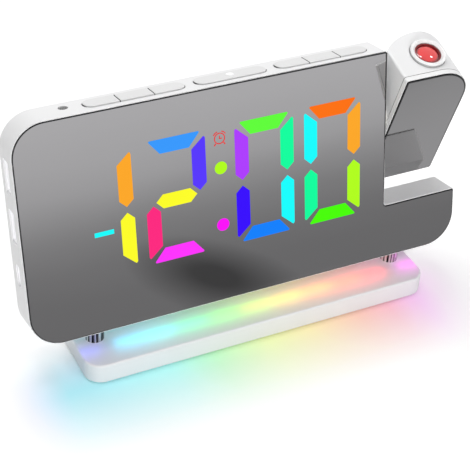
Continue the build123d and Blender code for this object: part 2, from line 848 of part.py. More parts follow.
# ---------------------------------------------------------------- sockets and main board
board_front = socket_setback + usb_size[1] / 2
board_back = board_front + board_thickness
board_left = -panel_width / 2 + shell_wall + board_left_gap
board_screw_xs = (board_left + board_screw_inset_left, board_right - board_screw_inset)
board_screw_heights = (board_bottom + board_screw_inset, board_top - board_screw_inset)
board_screw_points = [(x, height) for x in board_screw_xs for height in board_screw_heights]
socket_front = -panel_width / 2 + socket_recess

with BuildPart() as usb_sockets:
    with BuildSketch(body.left(socket_front)):
        for height in usb_heights:
            with Locations((height, socket_setback)):
                Rectangle(*usb_size)
    extrude(amount=-usb_length)
    with BuildSketch(body.left(socket_front)):
        for height in usb_heights:
            with Locations((height, socket_setback)):
                Rectangle(usb_size[0] - 2 * usb_wall, usb_size[1] - 2 * usb_wall)
    extrude(amount=-(usb_length - usb_wall), mode=Mode.SUBTRACT)
keep(usb_sockets, "usb_sockets")

tongue_offset = usb_size[1] / 2 - usb_wall - usb_tongue[1] / 2 - usb_tongue_gap
with BuildPart() as usb_tongues:
    with BuildSketch(body.left(socket_front + tongue_setback)):
        for height in usb_heights:
            with Locations((height, socket_setback - tongue_offset)):
                Rectangle(*usb_tongue)
    extrude(amount=-(usb_length - usb_wall - tongue_setback))
keep(usb_tongues, "usb_tongues")

with BuildPart() as power_inlet:
    with BuildSketch(body.left(socket_front)):
        with Locations((inlet_height, socket_setback)):
            SlotOverall(*inlet_size)
    extrude(amount=-inlet_length)
    with BuildSketch(body.left(socket_front)):
        with Locations((inlet_height, socket_setback)):
            SlotOverall(inlet_size[0] - 2 * usb_wall, inlet_size[1] - 2 * usb_wall)
    extrude(amount=-(inlet_length - usb_wall), mode=Mode.SUBTRACT)
    with BuildSketch(body.left(socket_front + tongue_setback)):
        with Locations((inlet_height, socket_setback)):
            Rectangle(*inlet_tongue)
    extrude(amount=-(inlet_length - tongue_setback))
    # Riser that carries the inlet on the board
    riser = board_front - socket_setback
    with BuildSketch(body.left(socket_front + shell_wall)):
        with Locations((inlet_height, socket_setback + riser / 2)):
            Rectangle(inlet_size[0] - inlet_size[1], riser)
        with Locations((inlet_height, socket_setback)):
            SlotOverall(*inlet_size, mode=Mode.SUBTRACT)
    extrude(amount=-(inlet_length - shell_wall))
keep(power_inlet, "power_inlet")

with BuildPart() as main_board:
    with BuildSketch(body.face(board_back)):
        with Locations(((board_left + board_right) / 2, (board_bottom + board_top) / 2)):
            Rectangle(board_right - board_left, board_top - board_bottom)
        with Locations(*board_screw_points):
            Circle(small_screw_radius + slack, mode=Mode.SUBTRACT)
    extrude(amount=board_thickness)
    for chip_x, chip_height, chip_length, chip_width, chip_thickness in chip_places:
        with BuildSketch(body.face(board_front, board_left + chip_x, board_bottom + chip_height)):
            Rectangle(chip_length, chip_width)
        extrude(amount=chip_thickness)
keep(main_board, "main_board")

board_screws = screw_group(
    [body.rear_face(board_front, x, height) for x, height in board_screw_points],
    board_thickness + board_screw_grip,
    small_screw_radius,
    small_head_radius,
    small_head_height,
)
keep(board_screws, "board_screws")

# ---------------------------------------------------------------- glow light in the underside
glow_led_bottom = shell_wall + glow_flange_thickness

with BuildPart() as glow_diffuser:
    with BuildSketch(body.top(glow_recess, 0, glow_setback)):
        Rectangle(glow_length - 2 * slack, glow_width - 2 * slack)
    extrude(amount=shell_wall - glow_recess)
    with BuildSketch(body.top(shell_wall, 0, glow_setback)):
        Rectangle(glow_length + 2 * glow_flange, glow_width + 2 * glow_flange)
    extrude(amount=glow_flange_thickness)
keep(glow_diffuser, "glow_diffuser")

with BuildPart() as glow_board:
    with BuildSketch(body.top(glow_led_bottom, 0, glow_setback)):
        with GridLocations(glow_length / glow_led_count, 0, glow_led_count, 1):
            Rectangle(glow_led_size, glow_led_size)
    extrude(amount=glow_led_height)
    with BuildSketch(body.top(glow_led_bottom + glow_led_height, 0, glow_setback)):
        Rectangle(glow_length, glow_width + 2 * glow_flange)
    extrude(amount=glow_board_thickness)
keep(glow_board, "glow_board")

# ---------------------------------------------------------------- rear shell
flank_depth = body_depth - edge_depth
flank_shift = shell_wall * sqrt(back_inset**2 + flank_depth**2) / flank_depth
inner_back = body_depth - shell_wall
inner_back_inset = back_inset * (inner_back - edge_depth) / flank_depth + flank_shift
pocket_half = cell_radius + cell_clearance
pocket_floor = body_depth - battery_door_thickness - cell_thickness - cell_contact_thickness - cell_clearance
door_left = battery_x - pocket_half - battery_ledge
door_right = battery_x + pocket_half + door_tab
door_half_height = pocket_half + battery_ledge
door_screw_x = battery_x + pocket_half + door_tab / 2
speaker_front = inner_back - speaker_basket_depth
shelf_front = key_setback - key_board_width / 2
shelf_height = key_board_bottom - shelf_thickness / 2

with BuildPart() as rear_hollow:
    with BuildSketch(body.face(edge_depth)):
        panel_outline(flank_shift)
    with BuildSketch(body.face(inner_back)):
        panel_outline(inner_back_inset)
    loft(ruled=True)
    # Material left for the screw bosses, the battery pocket and the speaker's collar
    with BuildSketch(body.face(body_depth)):
        with Locations(*rear_screw_points):
            Circle(rear_boss_radius + head_room)
    extrude(amount=flank_depth, mode=Mode.SUBTRACT)
    with BuildSketch(body.face(body_depth)):
        with Locations(((door_left + door_right) / 2, battery_height)):
            Rectangle(door_right - door_left, 2 * (pocket_half + battery_wall))
    extrude(amount=body_depth - pocket_floor + battery_wall, mode=Mode.SUBTRACT)
    with BuildSketch(body.face(body_depth)):
        with Locations((speaker_x, speaker_height)):
            Circle(speaker_radius + loose_slack + speaker_collar)
            Circle(speaker_radius + loose_slack, mode=Mode.SUBTRACT)
    extrude(amount=shell_wall + speaker_basket_depth / 2, mode=Mode.SUBTRACT)

with BuildPart() as rear_shell:
    with BuildSketch(body.face(edge_depth)):
        panel_outline(shell_step)
    with BuildSketch(body.face(body_depth)):
        panel_outline(back_inset)
    loft(ruled=True)
    add(rear_hollow.part, mode=Mode.SUBTRACT)
    # Standoffs for the main board and shelves under the key board
    with BuildSketch(body.face(inner_back)):
        with Locations(*board_screw_points):
            Circle(small_head_radius + head_room)
    extrude(amount=inner_back - board_back)
    with BuildSketch(body.face(inner_back)):
        with Locations(*[(x, shelf_height) for x in shelf_xs]):
            Rectangle(shell_wall, shelf_thickness)
    extrude(amount=inner_back - shelf_front)
    with BuildSketch(body.face(inner_back)):
        with Locations(*board_screw_points):
            Circle(small_screw_radius + running_gap)
    extrude(amount=inner_back - board_back, mode=Mode.SUBTRACT)
    # Screw recesses and shank holes
    with BuildSketch(body.face(body_depth)):
        with Locations(*rear_screw_points):
            Circle(small_head_radius + head_room)
    extrude(amount=body_depth - edge_depth - rear_screw_seat, mode=Mode.SUBTRACT)
    with BuildSketch(body.face(body_depth)):
        with Locations(*rear_screw_points):
            Circle(small_screw_radius + slack)
    extrude(amount=flank_depth, mode=Mode.SUBTRACT)
    # Battery pocket and the recess for its door
    with BuildSketch(body.face(body_depth)):
        with Locations(((door_left + door_right) / 2, battery_height)):
            RectangleRounded(door_right - door_left, 2 * door_half_height, door_corner_radius)
    extrude(amount=battery_door_thickness, mode=Mode.SUBTRACT)
    with BuildSketch(body.face(body_depth, battery_x, battery_height)):
        Circle(pocket_half)
    extrude(amount=body_depth - pocket_floor, mode=Mode.SUBTRACT)
    with BuildSketch(body.face(body_depth, door_screw_x, battery_height)):
        Circle(small_screw_radius + running_gap)
    extrude(amount=body_depth - pocket_floor, mode=Mode.SUBTRACT)
    # Speaker grille
    with BuildSketch(body.face(body_depth, speaker_x, speaker_height)):
        Circle(grille_hole_radius)
        for ring in range(1, grille_ring_count + 1):
            with PolarLocations(ring * grille_ring_pitch, 6 * ring):
                Circle(grille_hole_radius)
    extrude(amount=shell_wall, mode=Mode.SUBTRACT)
    # Relief round the bush and clip of the arm's axle
    with BuildSketch(body.right(notch_x - shell_wall, pivot_height, pivot_setback)):
        Circle(bush_flange_radius + head_room)
    extrude(amount=-notch_width / 2, mode=Mode.SUBTRACT)
keep(rear_shell, "rear_shell")

rear_screws = screw_group(
    [body.face(edge_depth + rear_screw_seat, x, height) for x, height in rear_screw_points],
    rear_screw_seat + small_screw_grip,
    small_screw_radius,
    small_head_radius,
    small_head_height,
)
keep(rear_screws, "rear_screws")

with BuildPart() as speaker:
    with BuildSketch(body.face(inner_back, speaker_x, speaker_height)):
        Circle(speaker_radius)
    extrude(amount=speaker_basket_depth)
    with BuildSketch(body.face(speaker_front, speaker_x, speaker_height)):
        Circle(speaker_magnet_radius)
    extrude(amount=speaker_magnet_depth)
    with BuildSketch(body.face(inner_back, speaker_x, speaker_height)):
        Circle(speaker_radius - speaker_rim)
    with BuildSketch(body.face(inner_back - speaker_cone_depth, speaker_x, speaker_height)):
        Circle(speaker_radius / 3)
    loft(mode=Mode.SUBTRACT)
keep(speaker, "speaker")

cell_front = pocket_floor + cell_contact_thickness
with BuildPart() as battery_contact:
    with BuildSketch(body.face(cell_front, battery_x, battery_height)):
        SlotOverall(1.6 * cell_radius, cell_contact_width)
    extrude(amount=cell_contact_thickness)
keep(battery_contact, "battery_contact")

with BuildPart() as coin_cell:
    with BuildSketch(body.face(cell_front + cell_thickness, battery_x, battery_height)):
        Circle(cell_radius)
    extrude(amount=cell_thickness)
    fillet(coin_cell.faces().sort_by(Axis(body.origin, body.back))[-1].edges(), cell_edge_radius)
keep(coin_cell, "coin_cell")

with BuildPart() as battery_door:
    with BuildSketch(body.face(body_depth)):
        with Locations(((door_left + door_right) / 2, battery_height)):
            RectangleRounded(
                door_right - door_left - 2 * loose_slack,
                2 * (door_half_height - loose_slack),
                door_corner_radius - loose_slack,
            )
    extrude(amount=battery_door_thickness)
    with Locations(body.rear_face(body_depth, door_screw_x, battery_height)):
        CounterSinkHole(small_screw_radius + slack, small_head_radius, battery_door_thickness)
keep(battery_door, "battery_door")

battery_door_screw = screw_group(
    [body.face(body_depth, door_screw_x, battery_height)],
    body_depth - pocket_floor - loose_slack,
    small_screw_radius,
    small_head_radius,
    small_head_height,
    countersunk=True,
)
keep(battery_door_screw, "battery_door_screw")

# ---------------------------------------------------------------- pivot of the projector arm
wall_inside = notch_x - shell_wall
bush_left = wall_inside - bush_flange_thickness
washer_left = bush_left - pivot_face_gap - wave_washer_thickness
clip_left = washer_left - clip_thickness
axle_left = clip_left - axle_tail


def on_axle(x):
    """Plane square to the arm's axle, facing +X."""
    return body.right(x, pivot_height, pivot_setback)


with BuildPart() as pivot_bush:
    with BuildSketch(on_axle(bush_left)):
        Circle(bush_radius - running_gap)
    extrude(amount=notch_x - bush_left)
    with BuildSketch(on_axle(bush_left)):
        Circle(bush_flange_radius)
    extrude(amount=bush_flange_thickness)
    with BuildSketch(on_axle(bush_left)):
        Circle(axle_radius + running_gap)
    extrude(amount=notch_x - bush_left, mode=Mode.SUBTRACT)
keep(pivot_bush, "pivot_bush")

with BuildPart() as pivot_axle:
    with BuildSketch(on_axle(axle_left)):
        Circle(axle_radius)
    extrude(amount=arm_left + arm_wall - axle_left)
    with BuildSketch(on_axle(arm_left + arm_wall)):
        Circle(axle_flange_radius)
    extrude(amount=axle_flange_thickness)
    with BuildSketch(on_axle(clip_left)):
        Circle(axle_radius)
        Circle(axle_radius - clip_groove, mode=Mode.SUBTRACT)
    extrude(amount=clip_thickness, mode=Mode.SUBTRACT)
    with BuildSketch(on_axle(axle_left)):
        Circle(axle_bore_radius)
    extrude(amount=notch_width, mode=Mode.SUBTRACT)
    chamfer(pivot_axle.faces().sort_by(Axis.X)[0].edges(), axle_chamfer)
keep(pivot_axle, "pivot_axle")

with BuildPart() as wave_washer:
    with BuildSketch(on_axle(washer_left)):
        Circle(bush_flange_radius - loose_slack)
        Circle(axle_radius + slack, mode=Mode.SUBTRACT)
    extrude(amount=wave_washer_thickness)
keep(wave_washer, "wave_washer")

with BuildPart() as retaining_clip:
    with BuildSketch(on_axle(clip_left)):
        Circle(clip_radius)
        Circle(axle_radius - clip_groove + running_gap, mode=Mode.SUBTRACT)
        with Locations((0, -clip_radius)):
            Rectangle(clip_mouth, 2 * clip_radius, mode=Mode.SUBTRACT)
    extrude(amount=clip_thickness)
keep(retaining_clip, "retaining_clip")

with BuildPart() as friction_washer:
    with BuildSketch(on_axle(notch_x + pivot_face_gap)):
        Circle(friction_washer_radius)
        Circle(axle_radius + running_gap, mode=Mode.SUBTRACT)
    extrude(amount=arm_gap - pivot_face_gap)
keep(friction_washer, "friction_washer")

# ---------------------------------------------------------------- projector arm
flange_top_height = arm_top - ring_cover
flange_bottom_height = flange_top_height - ring_flange_thickness
tube_top = flange_bottom_height - slack
tube_bottom = tube_top - tube_length
box_bottom = tube_bottom - optics_box_length
box_half = optics_box_size / 2
box_back = optic_setback + box_half
box_front = optic_setback - box_half
pad_height = (tube_bottom + box_bottom) / 2

with BuildPart() as arm_ribs:
    # Thickened top wall over the focus ring's flange
    with BuildSketch(arm.top(flange_top_height + slack, optic_x, optic_setback)):
        Circle(ring_flange_radius + loose_slack)
    extrude(amount=arm_top - flange_top_height - slack)
    # Screw bosses and the pad behind the optics box
    with BuildSketch(arm.face(arm_screw_seat + arm_wall)):
        with Locations(*arm_screw_points):
            Circle(arm_boss_radius)
    extrude(amount=arm_screw_seat + arm_wall - arm_post_depth)
    with BuildSketch(arm.face(arm_depth, optic_x, pad_height)):
        Rectangle(*optics_pad)
    extrude(amount=arm_depth - box_back)
    add(arm_solid(arm_bezel_depth, arm_wall / 2), mode=Mode.INTERSECT)

with BuildPart() as arm_housing:
    add(arm_solid(arm_bezel_depth + arm_groove, 0))
    with BuildSketch(arm.face(arm_bezel_depth + arm_groove)):
        arm_outline(arm_groove)
    extrude(amount=arm_groove)
    add(arm_solid(0, arm_wall), mode=Mode.SUBTRACT)
    add(arm_ribs.part)
    # Bore for the focus ring and its flange
    with BuildSketch(arm.top(tube_top, optic_x, optic_setback)):
        Circle(ring_flange_radius + ring_gap)
    extrude(amount=flange_top_height + slack - tube_top, mode=Mode.SUBTRACT)
    with BuildSketch(arm.top(tube_top, optic_x, optic_setback)):
        Circle(ring_radius + ring_gap)
    extrude(amount=panel_height - tube_top, mode=Mode.SUBTRACT)
    # Screw recesses and shank holes
    with BuildSketch(arm.face(arm_depth)):
        with Locations(*arm_screw_points):
            Circle(small_head_radius + head_room)
    extrude(amount=arm_depth - arm_screw_seat, mode=Mode.SUBTRACT)
    with BuildSketch(arm.face(arm_depth)):
        with Locations(*arm_screw_points):
            Circle(small_screw_radius + slack)
    extrude(amount=arm_depth - arm_post_depth, mode=Mode.SUBTRACT)
    # Axle hole
    with BuildSketch(on_axle(arm_left)):
        Circle(axle_radius + running_gap)
    extrude(amount=arm_wall, mode=Mode.SUBTRACT)
keep(arm_housing, "arm_housing")

with BuildPart() as arm_bezel:
    with BuildSketch(arm.face(arm_bezel_depth)):
        arm_outline()
    extrude(amount=arm_bezel_depth - mirror_proud)
    with BuildSketch(arm.face(mirror_thickness)):
        arm_outline(mirror_rim)
    extrude(amount=mirror_thickness, mode=Mode.SUBTRACT)
    with BuildSketch(arm.face(arm_post_depth)):
        with Locations(*arm_screw_points):
            Circle(arm_post_radius)
    extrude(amount=arm_post_depth - arm_bezel_depth)
    with BuildSketch(arm.face(box_front, optic_x, pad_height)):
        Rectangle(*optics_pad)
    extrude(amount=box_front - arm_bezel_depth)
    with BuildSketch(arm.face(arm_post_depth)):
        with Locations(*arm_screw_points):
            Circle(small_screw_radius + running_gap)
    extrude(amount=arm_post_depth - arm_bezel_depth - arm_screw_floor, mode=Mode.SUBTRACT)
keep(arm_bezel, "arm_bezel")

with BuildPart() as arm_mirror:
    with BuildSketch(arm.face(mirror_thickness)):
        arm_outline(mirror_rim + mirror_gap)
    extrude(amount=mirror_thickness)
    chamfer(arm_mirror.faces().sort_by(Axis(arm.origin, arm.back))[0].edges(), mirror_bevel)
keep(arm_mirror, "arm_mirror")

arm_screws = screw_group(
    [arm.face(arm_screw_seat, x, height) for x, height in arm_screw_points],
    arm_screw_seat - arm_post_depth + small_screw_grip,
    small_screw_radius,
    small_head_radius,
    small_head_height,
)
keep(arm_screws, "arm_screws")

# ---------------------------------------------------------------- projector optics
optic_axis = Axis(arm.point(optic_x, 0, optic_setback), arm.up)
ring_top = arm_top + ring_proud
cell_top = ring_top - lens_cell_below_rim
cell_bottom = cell_top - lens_cell_length
cell_radius_outside = ring_bore_radius - lens_cell_gap
finger_outside = cell_radius_outside - slack
finger_inside = finger_outside - finger_thickness
throat_radius = finger_inside - running_gap


def optic_plane():
    """Plane through the optical axis: local x is the radius, local y the height on the arm."""
    return arm.face(optic_setback, optic_x)


with BuildPart() as focus_ring:
    with BuildSketch(optic_plane()):
        with BuildLine():
            Polyline(
                (ring_bore_radius, flange_bottom_height),
                (ring_flange_radius, flange_bottom_height),
                (ring_flange_radius, flange_top_height),
                (ring_radius, flange_top_height),
                (ring_radius, ring_top - ring_bevel),
                (ring_radius - ring_bevel, ring_top),
                (ring_bore_radius + ring_inner_bevel, ring_top),
                (ring_bore_radius, ring_top - ring_inner_bevel),
                close=True,
            )
        make_face()
    revolve(axis=optic_axis)
keep(focus_ring, "focus_ring")


def finger_slots(growth=0.0):
    """Two guide fingers, one each side of the optical axis, in the open sketch."""
    with Locations((finger_inside + finger_thickness, 0), (-finger_inside - finger_thickness, 0)):
        Rectangle(2 * finger_thickness + growth, finger_width + growth)


with BuildPart() as lens_tube:
    with BuildSketch(optic_plane()):
        with BuildLine():
            Polyline(
                (ring_bore_radius, tube_bottom),
                (ring_bore_radius + tube_wall, tube_bottom),
                (ring_bore_radius + tube_wall, tube_top - tube_flange_thickness),
                (tube_flange_radius, tube_top - tube_flange_thickness),
                (tube_flange_radius, tube_top),
                (throat_radius, tube_top),
                (throat_radius, tube_top - tube_throat),
                (ring_bore_radius, tube_top - tube_throat - (ring_bore_radius - throat_radius)),
                close=True,
            )
        make_face()
    revolve(axis=optic_axis)
    with BuildSketch(arm.top(tube_top, optic_x, optic_setback)):
        finger_slots()
        Circle(finger_outside, mode=Mode.INTERSECT)
        Circle(finger_inside, mode=Mode.SUBTRACT)
    extrude(amount=finger_length)
keep(lens_tube, "lens_tube")

with BuildPart() as lens_cell:
    with BuildSketch(arm.top(cell_bottom, optic_x, optic_setback)):
        Circle(cell_radius_outside)
        Circle(lens_aperture_radius, mode=Mode.SUBTRACT)
    extrude(amount=lens_cell_length)
    with BuildSketch(arm.top(cell_top - lens_seat_depth, optic_x, optic_setback)):
        Circle(lens_radius + running_gap / 2)
    extrude(amount=lens_seat_depth, mode=Mode.SUBTRACT)
    with BuildSketch(arm.top(cell_bottom, optic_x, optic_setback)):
        finger_slots(2 * slack)
        Circle(finger_inside - slack, mode=Mode.SUBTRACT)
    extrude(amount=tube_top + finger_length + focus_travel + slack - cell_bottom, mode=Mode.SUBTRACT)
keep(lens_cell, "lens_cell")


def plano_convex(plane, radius, edge, sag, axis):
    """A lens with a flat face at `plane`'s local y = 0 and a domed face above its edge."""
    with BuildPart() as one:
        with BuildSketch(plane):
            with BuildLine():
                Polyline((0, edge + sag), (0, 0), (radius, 0), (radius, edge))
                dome = (radius**2 + sag**2) / (2 * sag)
                half = radius / 2
                middle = (half, edge + sag - dome + sqrt(dome**2 - half**2))
                ThreePointArc((radius, edge), middle, (0, edge + sag))
            make_face()
        revolve(axis=axis)
    return one


lens_bottom = cell_top - lens_seat_depth
projection_lens = plano_convex(
    arm.face(optic_setback, optic_x, lens_bottom), lens_radius, lens_edge, lens_sag, optic_axis
)
keep(projection_lens, "projection_lens")

inner_half = box_half - optics_box_wall
slide_bottom = tube_bottom - slide_thickness
ledge_bottom = slide_bottom - slide_ledge

with BuildPart() as optics_box:
    with BuildSketch(arm.top(box_bottom, optic_x, optic_setback)):
        RectangleRounded(optics_box_size, optics_box_size, optics_box_radius)
    extrude(amount=optics_box_length)
    with BuildSketch(arm.top(box_bottom, optic_x, optic_setback)):
        Rectangle(2 * inner_half, 2 * inner_half)
    extrude(amount=ledge_bottom - box_bottom, mode=Mode.SUBTRACT)
    with BuildSketch(arm.top(ledge_bottom, optic_x, optic_setback)):
        Rectangle(slide_window, slide_window)
    extrude(amount=slide_bottom - ledge_bottom, mode=Mode.SUBTRACT)
    with BuildSketch(arm.top(slide_bottom, optic_x, optic_setback)):
        Rectangle(2 * inner_half, 2 * inner_half)
    extrude(amount=slide_thickness, mode=Mode.SUBTRACT)
keep(optics_box, "optics_box")

with BuildPart() as time_slide:
    with BuildSketch(arm.top(slide_bottom, optic_x, optic_setback)):
        Rectangle(2 * (inner_half - slack), 2 * (inner_half - slack))
    extrude(amount=slide_thickness)
keep(time_slide, "time_slide")

condenser_top = arm.point(optic_x, ledge_bottom, optic_setback)
condenser_lens = plano_convex(
    Plane(origin=condenser_top, x_dir=(1, 0, 0), z_dir=arm.back),
    condenser_radius,
    condenser_edge,
    condenser_sag,
    optic_axis,
)
keep(condenser_lens, "condenser_lens")

with BuildPart() as lamp_board:
    with BuildSketch(arm.top(box_bottom - board_thickness, optic_x, optic_setback)):
        Rectangle(optics_box_size, optics_box_size)
    extrude(amount=board_thickness)
    with BuildSketch(arm.top(box_bottom, optic_x, optic_setback)):
        Rectangle(lamp_size, lamp_size)
    extrude(amount=lamp_height)
keep(lamp_board, "lamp_board")

print(len(made), "pieces; pivot at", pivot, "and optical axis along", arm.up)
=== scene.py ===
"""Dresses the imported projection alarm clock: a finish for every CAD piece, the lit display, the
coloured glow, small trim, and the studio with its floor, reflections, lights and camera.

Lengths are in millimetres until MM turns them into metres. The stage is laid out in metres."""
import math

import bmesh
import bpy
from mathutils import Matrix, Vector


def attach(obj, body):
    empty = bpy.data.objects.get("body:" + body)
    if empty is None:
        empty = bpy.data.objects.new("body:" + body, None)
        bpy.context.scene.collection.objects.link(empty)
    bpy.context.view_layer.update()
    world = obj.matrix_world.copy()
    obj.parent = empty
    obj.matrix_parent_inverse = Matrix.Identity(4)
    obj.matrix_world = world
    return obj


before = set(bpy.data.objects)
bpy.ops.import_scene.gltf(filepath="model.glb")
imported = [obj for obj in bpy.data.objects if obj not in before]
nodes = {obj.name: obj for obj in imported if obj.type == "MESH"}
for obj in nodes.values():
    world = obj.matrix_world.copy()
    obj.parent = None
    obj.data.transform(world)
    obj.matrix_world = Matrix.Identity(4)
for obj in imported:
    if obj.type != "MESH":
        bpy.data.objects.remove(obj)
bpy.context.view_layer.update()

MM = 0.001


def add_object(name, data):
    """A new object of its data, in the scene."""
    made = bpy.data.objects.new(name, data)
    bpy.context.scene.collection.objects.link(made)
    return made


# ---------------------------------------------------------------- directions shared with the CAD
class LeaningFrame:
    """A panel's own directions: x along its width, up along its face, depth behind its face."""

    def __init__(self, origin, lean):
        self.origin = Vector(origin)
        self.up = Vector((0, math.sin(math.radians(lean)), math.cos(math.radians(lean))))
        self.back = Vector((0, math.cos(math.radians(lean)), -math.sin(math.radians(lean))))

    def point(self, x, up, depth):
        """A place in the panel's directions, in metres in the shared frame."""
        return (self.origin + Vector((x, 0, 0)) + self.up * up + self.back * depth) * MM


# The lower edge of the body's face, and the face's lean in degrees
BODY_FOOT = (0, -18.5, 16.26)
BODY_LEAN = 11.4
# The arm's axle, how far up and behind the arm's face it lies, and that face's lean
PIVOT = Vector((0, 4.03345, 78.4327))
PIVOT_UP = 64.8
PIVOT_DEPTH = 9.8
ARM_LEAN = -17.5
body = LeaningFrame(BODY_FOOT, BODY_LEAN)
arm_directions = LeaningFrame((0, 0, 0), ARM_LEAN)
arm = LeaningFrame(
    PIVOT - arm_directions.up * PIVOT_UP - arm_directions.back * PIVOT_DEPTH, ARM_LEAN
)


# ---------------------------------------------------------------- material building
def srgb(r, g, b):
    """A colour given as 0 to 255 display values, as linear light."""
    out = []
    for value in (r, g, b):
        share = value / 255
        out.append(share / 12.92 if share <= 0.04045 else ((share + 0.055) / 1.055) ** 2.4)
    return (*out, 1.0)


def shade(colour, factor):
    """A colour made darker or lighter by a factor."""
    return (*[min(1.0, c * factor) for c in colour[:3]], 1.0)


class Shader:
    """A new node material with one Principled shader, and short ways to feed it.

    Where a method takes a value, it can be another node's output or a plain number or colour."""

    def __init__(self, name):
        self.material = bpy.data.materials.new(name)
        self.material.use_nodes = True
        self.tree = self.material.node_tree
        self.shader = self.tree.nodes["Principled BSDF"]
        self.place = self.node("ShaderNodeTexCoord").outputs["Object"]

    def node(self, kind, **settings):
        made = self.tree.nodes.new(kind)
        for key, value in settings.items():
            setattr(made, key, value)
        return made

    def put(self, value, socket):
        """Links an output to an input socket, or sets a plain value on it."""
        if isinstance(value, bpy.types.NodeSocket):
            self.tree.links.new(value, socket)
        else:
            socket.default_value = value

    def put_all(self, values, sockets):
        for value, socket in zip(values, sockets):
            self.put(value, socket)

    def feed(self, value, name):
        """Feeds one input of the Principled shader."""
        self.put(value, self.shader.inputs[name])

    def set(self, **values):
        """Plain values for the Principled shader, with _ in place of each space in a name."""
        for key, value in values.items():
            self.feed(value, key.replace("_", " "))

    def normal(self):
        return self.node("ShaderNodeNewGeometry").outputs["Normal"]

    def split(self, vector):
        """A vector's parts, to be taken as ["X"], ["Y"] and ["Z"]."""
        made = self.node("ShaderNodeSeparateXYZ")
        self.put(vector, made.inputs["Vector"])
        return made.outputs

    def calc(self, operation, *values):
        """One step of arithmetic."""
        made = self.node("ShaderNodeMath", operation=operation)
        self.put_all(values, made.inputs)
        return made.outputs["Value"]

    def dot(self, vector, direction):
        """How far a vector reaches along a fixed direction."""
        made = self.node("ShaderNodeVectorMath", operation="DOT_PRODUCT")
        self.put_all((vector, direction), made.inputs)
        return made.outputs["Value"]

    def length(self, vector):
        made = self.node("ShaderNodeVectorMath", operation="LENGTH")
        self.put(vector, made.inputs[0])
        return made.outputs["Value"]

    def flat_length(self, x, y):
        """The length of a vector that has these two parts."""
        made = self.node("ShaderNodeCombineXYZ")
        self.put_all((x, y), made.inputs)
        return self.length(made.outputs["Vector"])

    def mapping(self, **values):
        """The object's own place, moved and scaled."""
        made = self.node("ShaderNodeMapping")
        self.put(self.place, made.inputs["Vector"])
        for key, value in values.items():
            made.inputs[key].default_value = value
        return made.outputs["Vector"]

    def noise(self, scale, detail=4.0, rough=0.5, stretch=(1, 1, 1)):
        """Noise over the object's own place, with scale in waves per metre."""
        made = self.node("ShaderNodeTexNoise")
        self.put(self.mapping(Scale=stretch), made.inputs["Vector"])
        made.inputs["Scale"].default_value = scale
        made.inputs["Detail"].default_value = detail
        made.inputs["Roughness"].default_value = rough
        return made.outputs["Fac"]

    def cells(self, scale, **settings):
        """The distance in a pattern of cells, with scale in cells per metre."""
        made = self.node("ShaderNodeTexVoronoi", **settings)
        self.put(self.place, made.inputs["Vector"])
        made.inputs["Scale"].default_value = scale
        return made.outputs["Distance"]

    def spread(self, value, low, high, start=0.3, end=0.7, kind="LINEAR"):
        """Runs from low, where the value is start, to high, where it is end.

        The start and end that it has by itself suit noise."""
        made = self.node("ShaderNodeMapRange", interpolation_type=kind)
        self.put(value, made.inputs["Value"])
        made.inputs["From Min"].default_value = start
        made.inputs["From Max"].default_value = end
        made.inputs["To Min"].default_value = low
        made.inputs["To Max"].default_value = high
        return made.outputs["Result"]

    def mix(self, factor, a, b, kind="MIX"):
        """Two colours mixed by a factor."""
        made = self.node("ShaderNodeMix", data_type="RGBA", blend_type=kind)
        self.put(factor, made.inputs["Factor"])
        self.put_all((a, b), [socket for socket in made.inputs if socket.type == "RGBA"])
        return next(socket for socket in made.outputs if socket.type == "RGBA")

    def clouded(self, factor, colour, variation):
        """A colour, a little darker and lighter by a factor."""
        return self.mix(factor, shade(colour, 1 - variation), shade(colour, 1 + variation))

    def painted_gap_shade(self, colour, reach, depth):
        """The colour with painted shade where other surfaces stand closer than reach, as in joins
        and gaps.
        """
        closeness = self.node("ShaderNodeAmbientOcclusion", samples=6)
        closeness.inputs["Distance"].default_value = reach
        openness = self.spread(closeness.outputs["AO"], depth, 1.0, 0.0, 0.75)
        return self.mix(openness, (0.0, 0.0, 0.0, 1.0), colour)

    def ramp(self, factor, stops):
        """A colour from a row of (place from 0 to 1, colour)."""
        made = self.node("ShaderNodeValToRGB")
        elements = made.color_ramp.elements
        while len(elements) < len(stops):
            elements.new(0.5)
        for element, (place, colour) in zip(elements, stops):
            element.position = place
            element.color = colour
        self.put(factor, made.inputs["Fac"])
        return made.outputs["Color"]

    def bump(self, height, strength, distance):
        made = self.node("ShaderNodeBump")
        made.inputs["Strength"].default_value = strength
        made.inputs["Distance"].default_value = distance
        self.put(height, made.inputs["Height"])
        self.feed(made.outputs["Normal"], "Normal")


# Painted shade in the joins and gaps of white plastic: it falls where other surfaces stand closer
# than this, and this is how dark it gets
GAP_SHADE_REACH = 1.2 * MM
GAP_SHADE_DEPTH = 0.2


def plastic(
    name,
    colour,
    roughness=0.3,
    variation=0.03,
    grain=900.0,
    grain_height=0.00002,
    shade_gaps=False,
    glow=0.0,
):
    """Moulded plastic: faint cloudiness in its colour, uneven gloss and a fine surface grain.

    It can take painted shade in narrow gaps, and glow adds light of its own colour."""
    s = Shader(name)
    tone = s.clouded(s.noise(45.0, 5.0), colour, variation)
    s.feed(s.painted_gap_shade(tone, GAP_SHADE_REACH, GAP_SHADE_DEPTH) if shade_gaps else tone, "Base Color")
    s.feed(s.spread(s.noise(260.0, 3.0), roughness * 0.88, roughness * 1.15), "Roughness")
    s.bump(s.noise(grain, 2.0), 0.12, grain_height)
    s.set(IOR=1.47, Emission_Color=colour, Emission_Strength=glow)
    return s.material


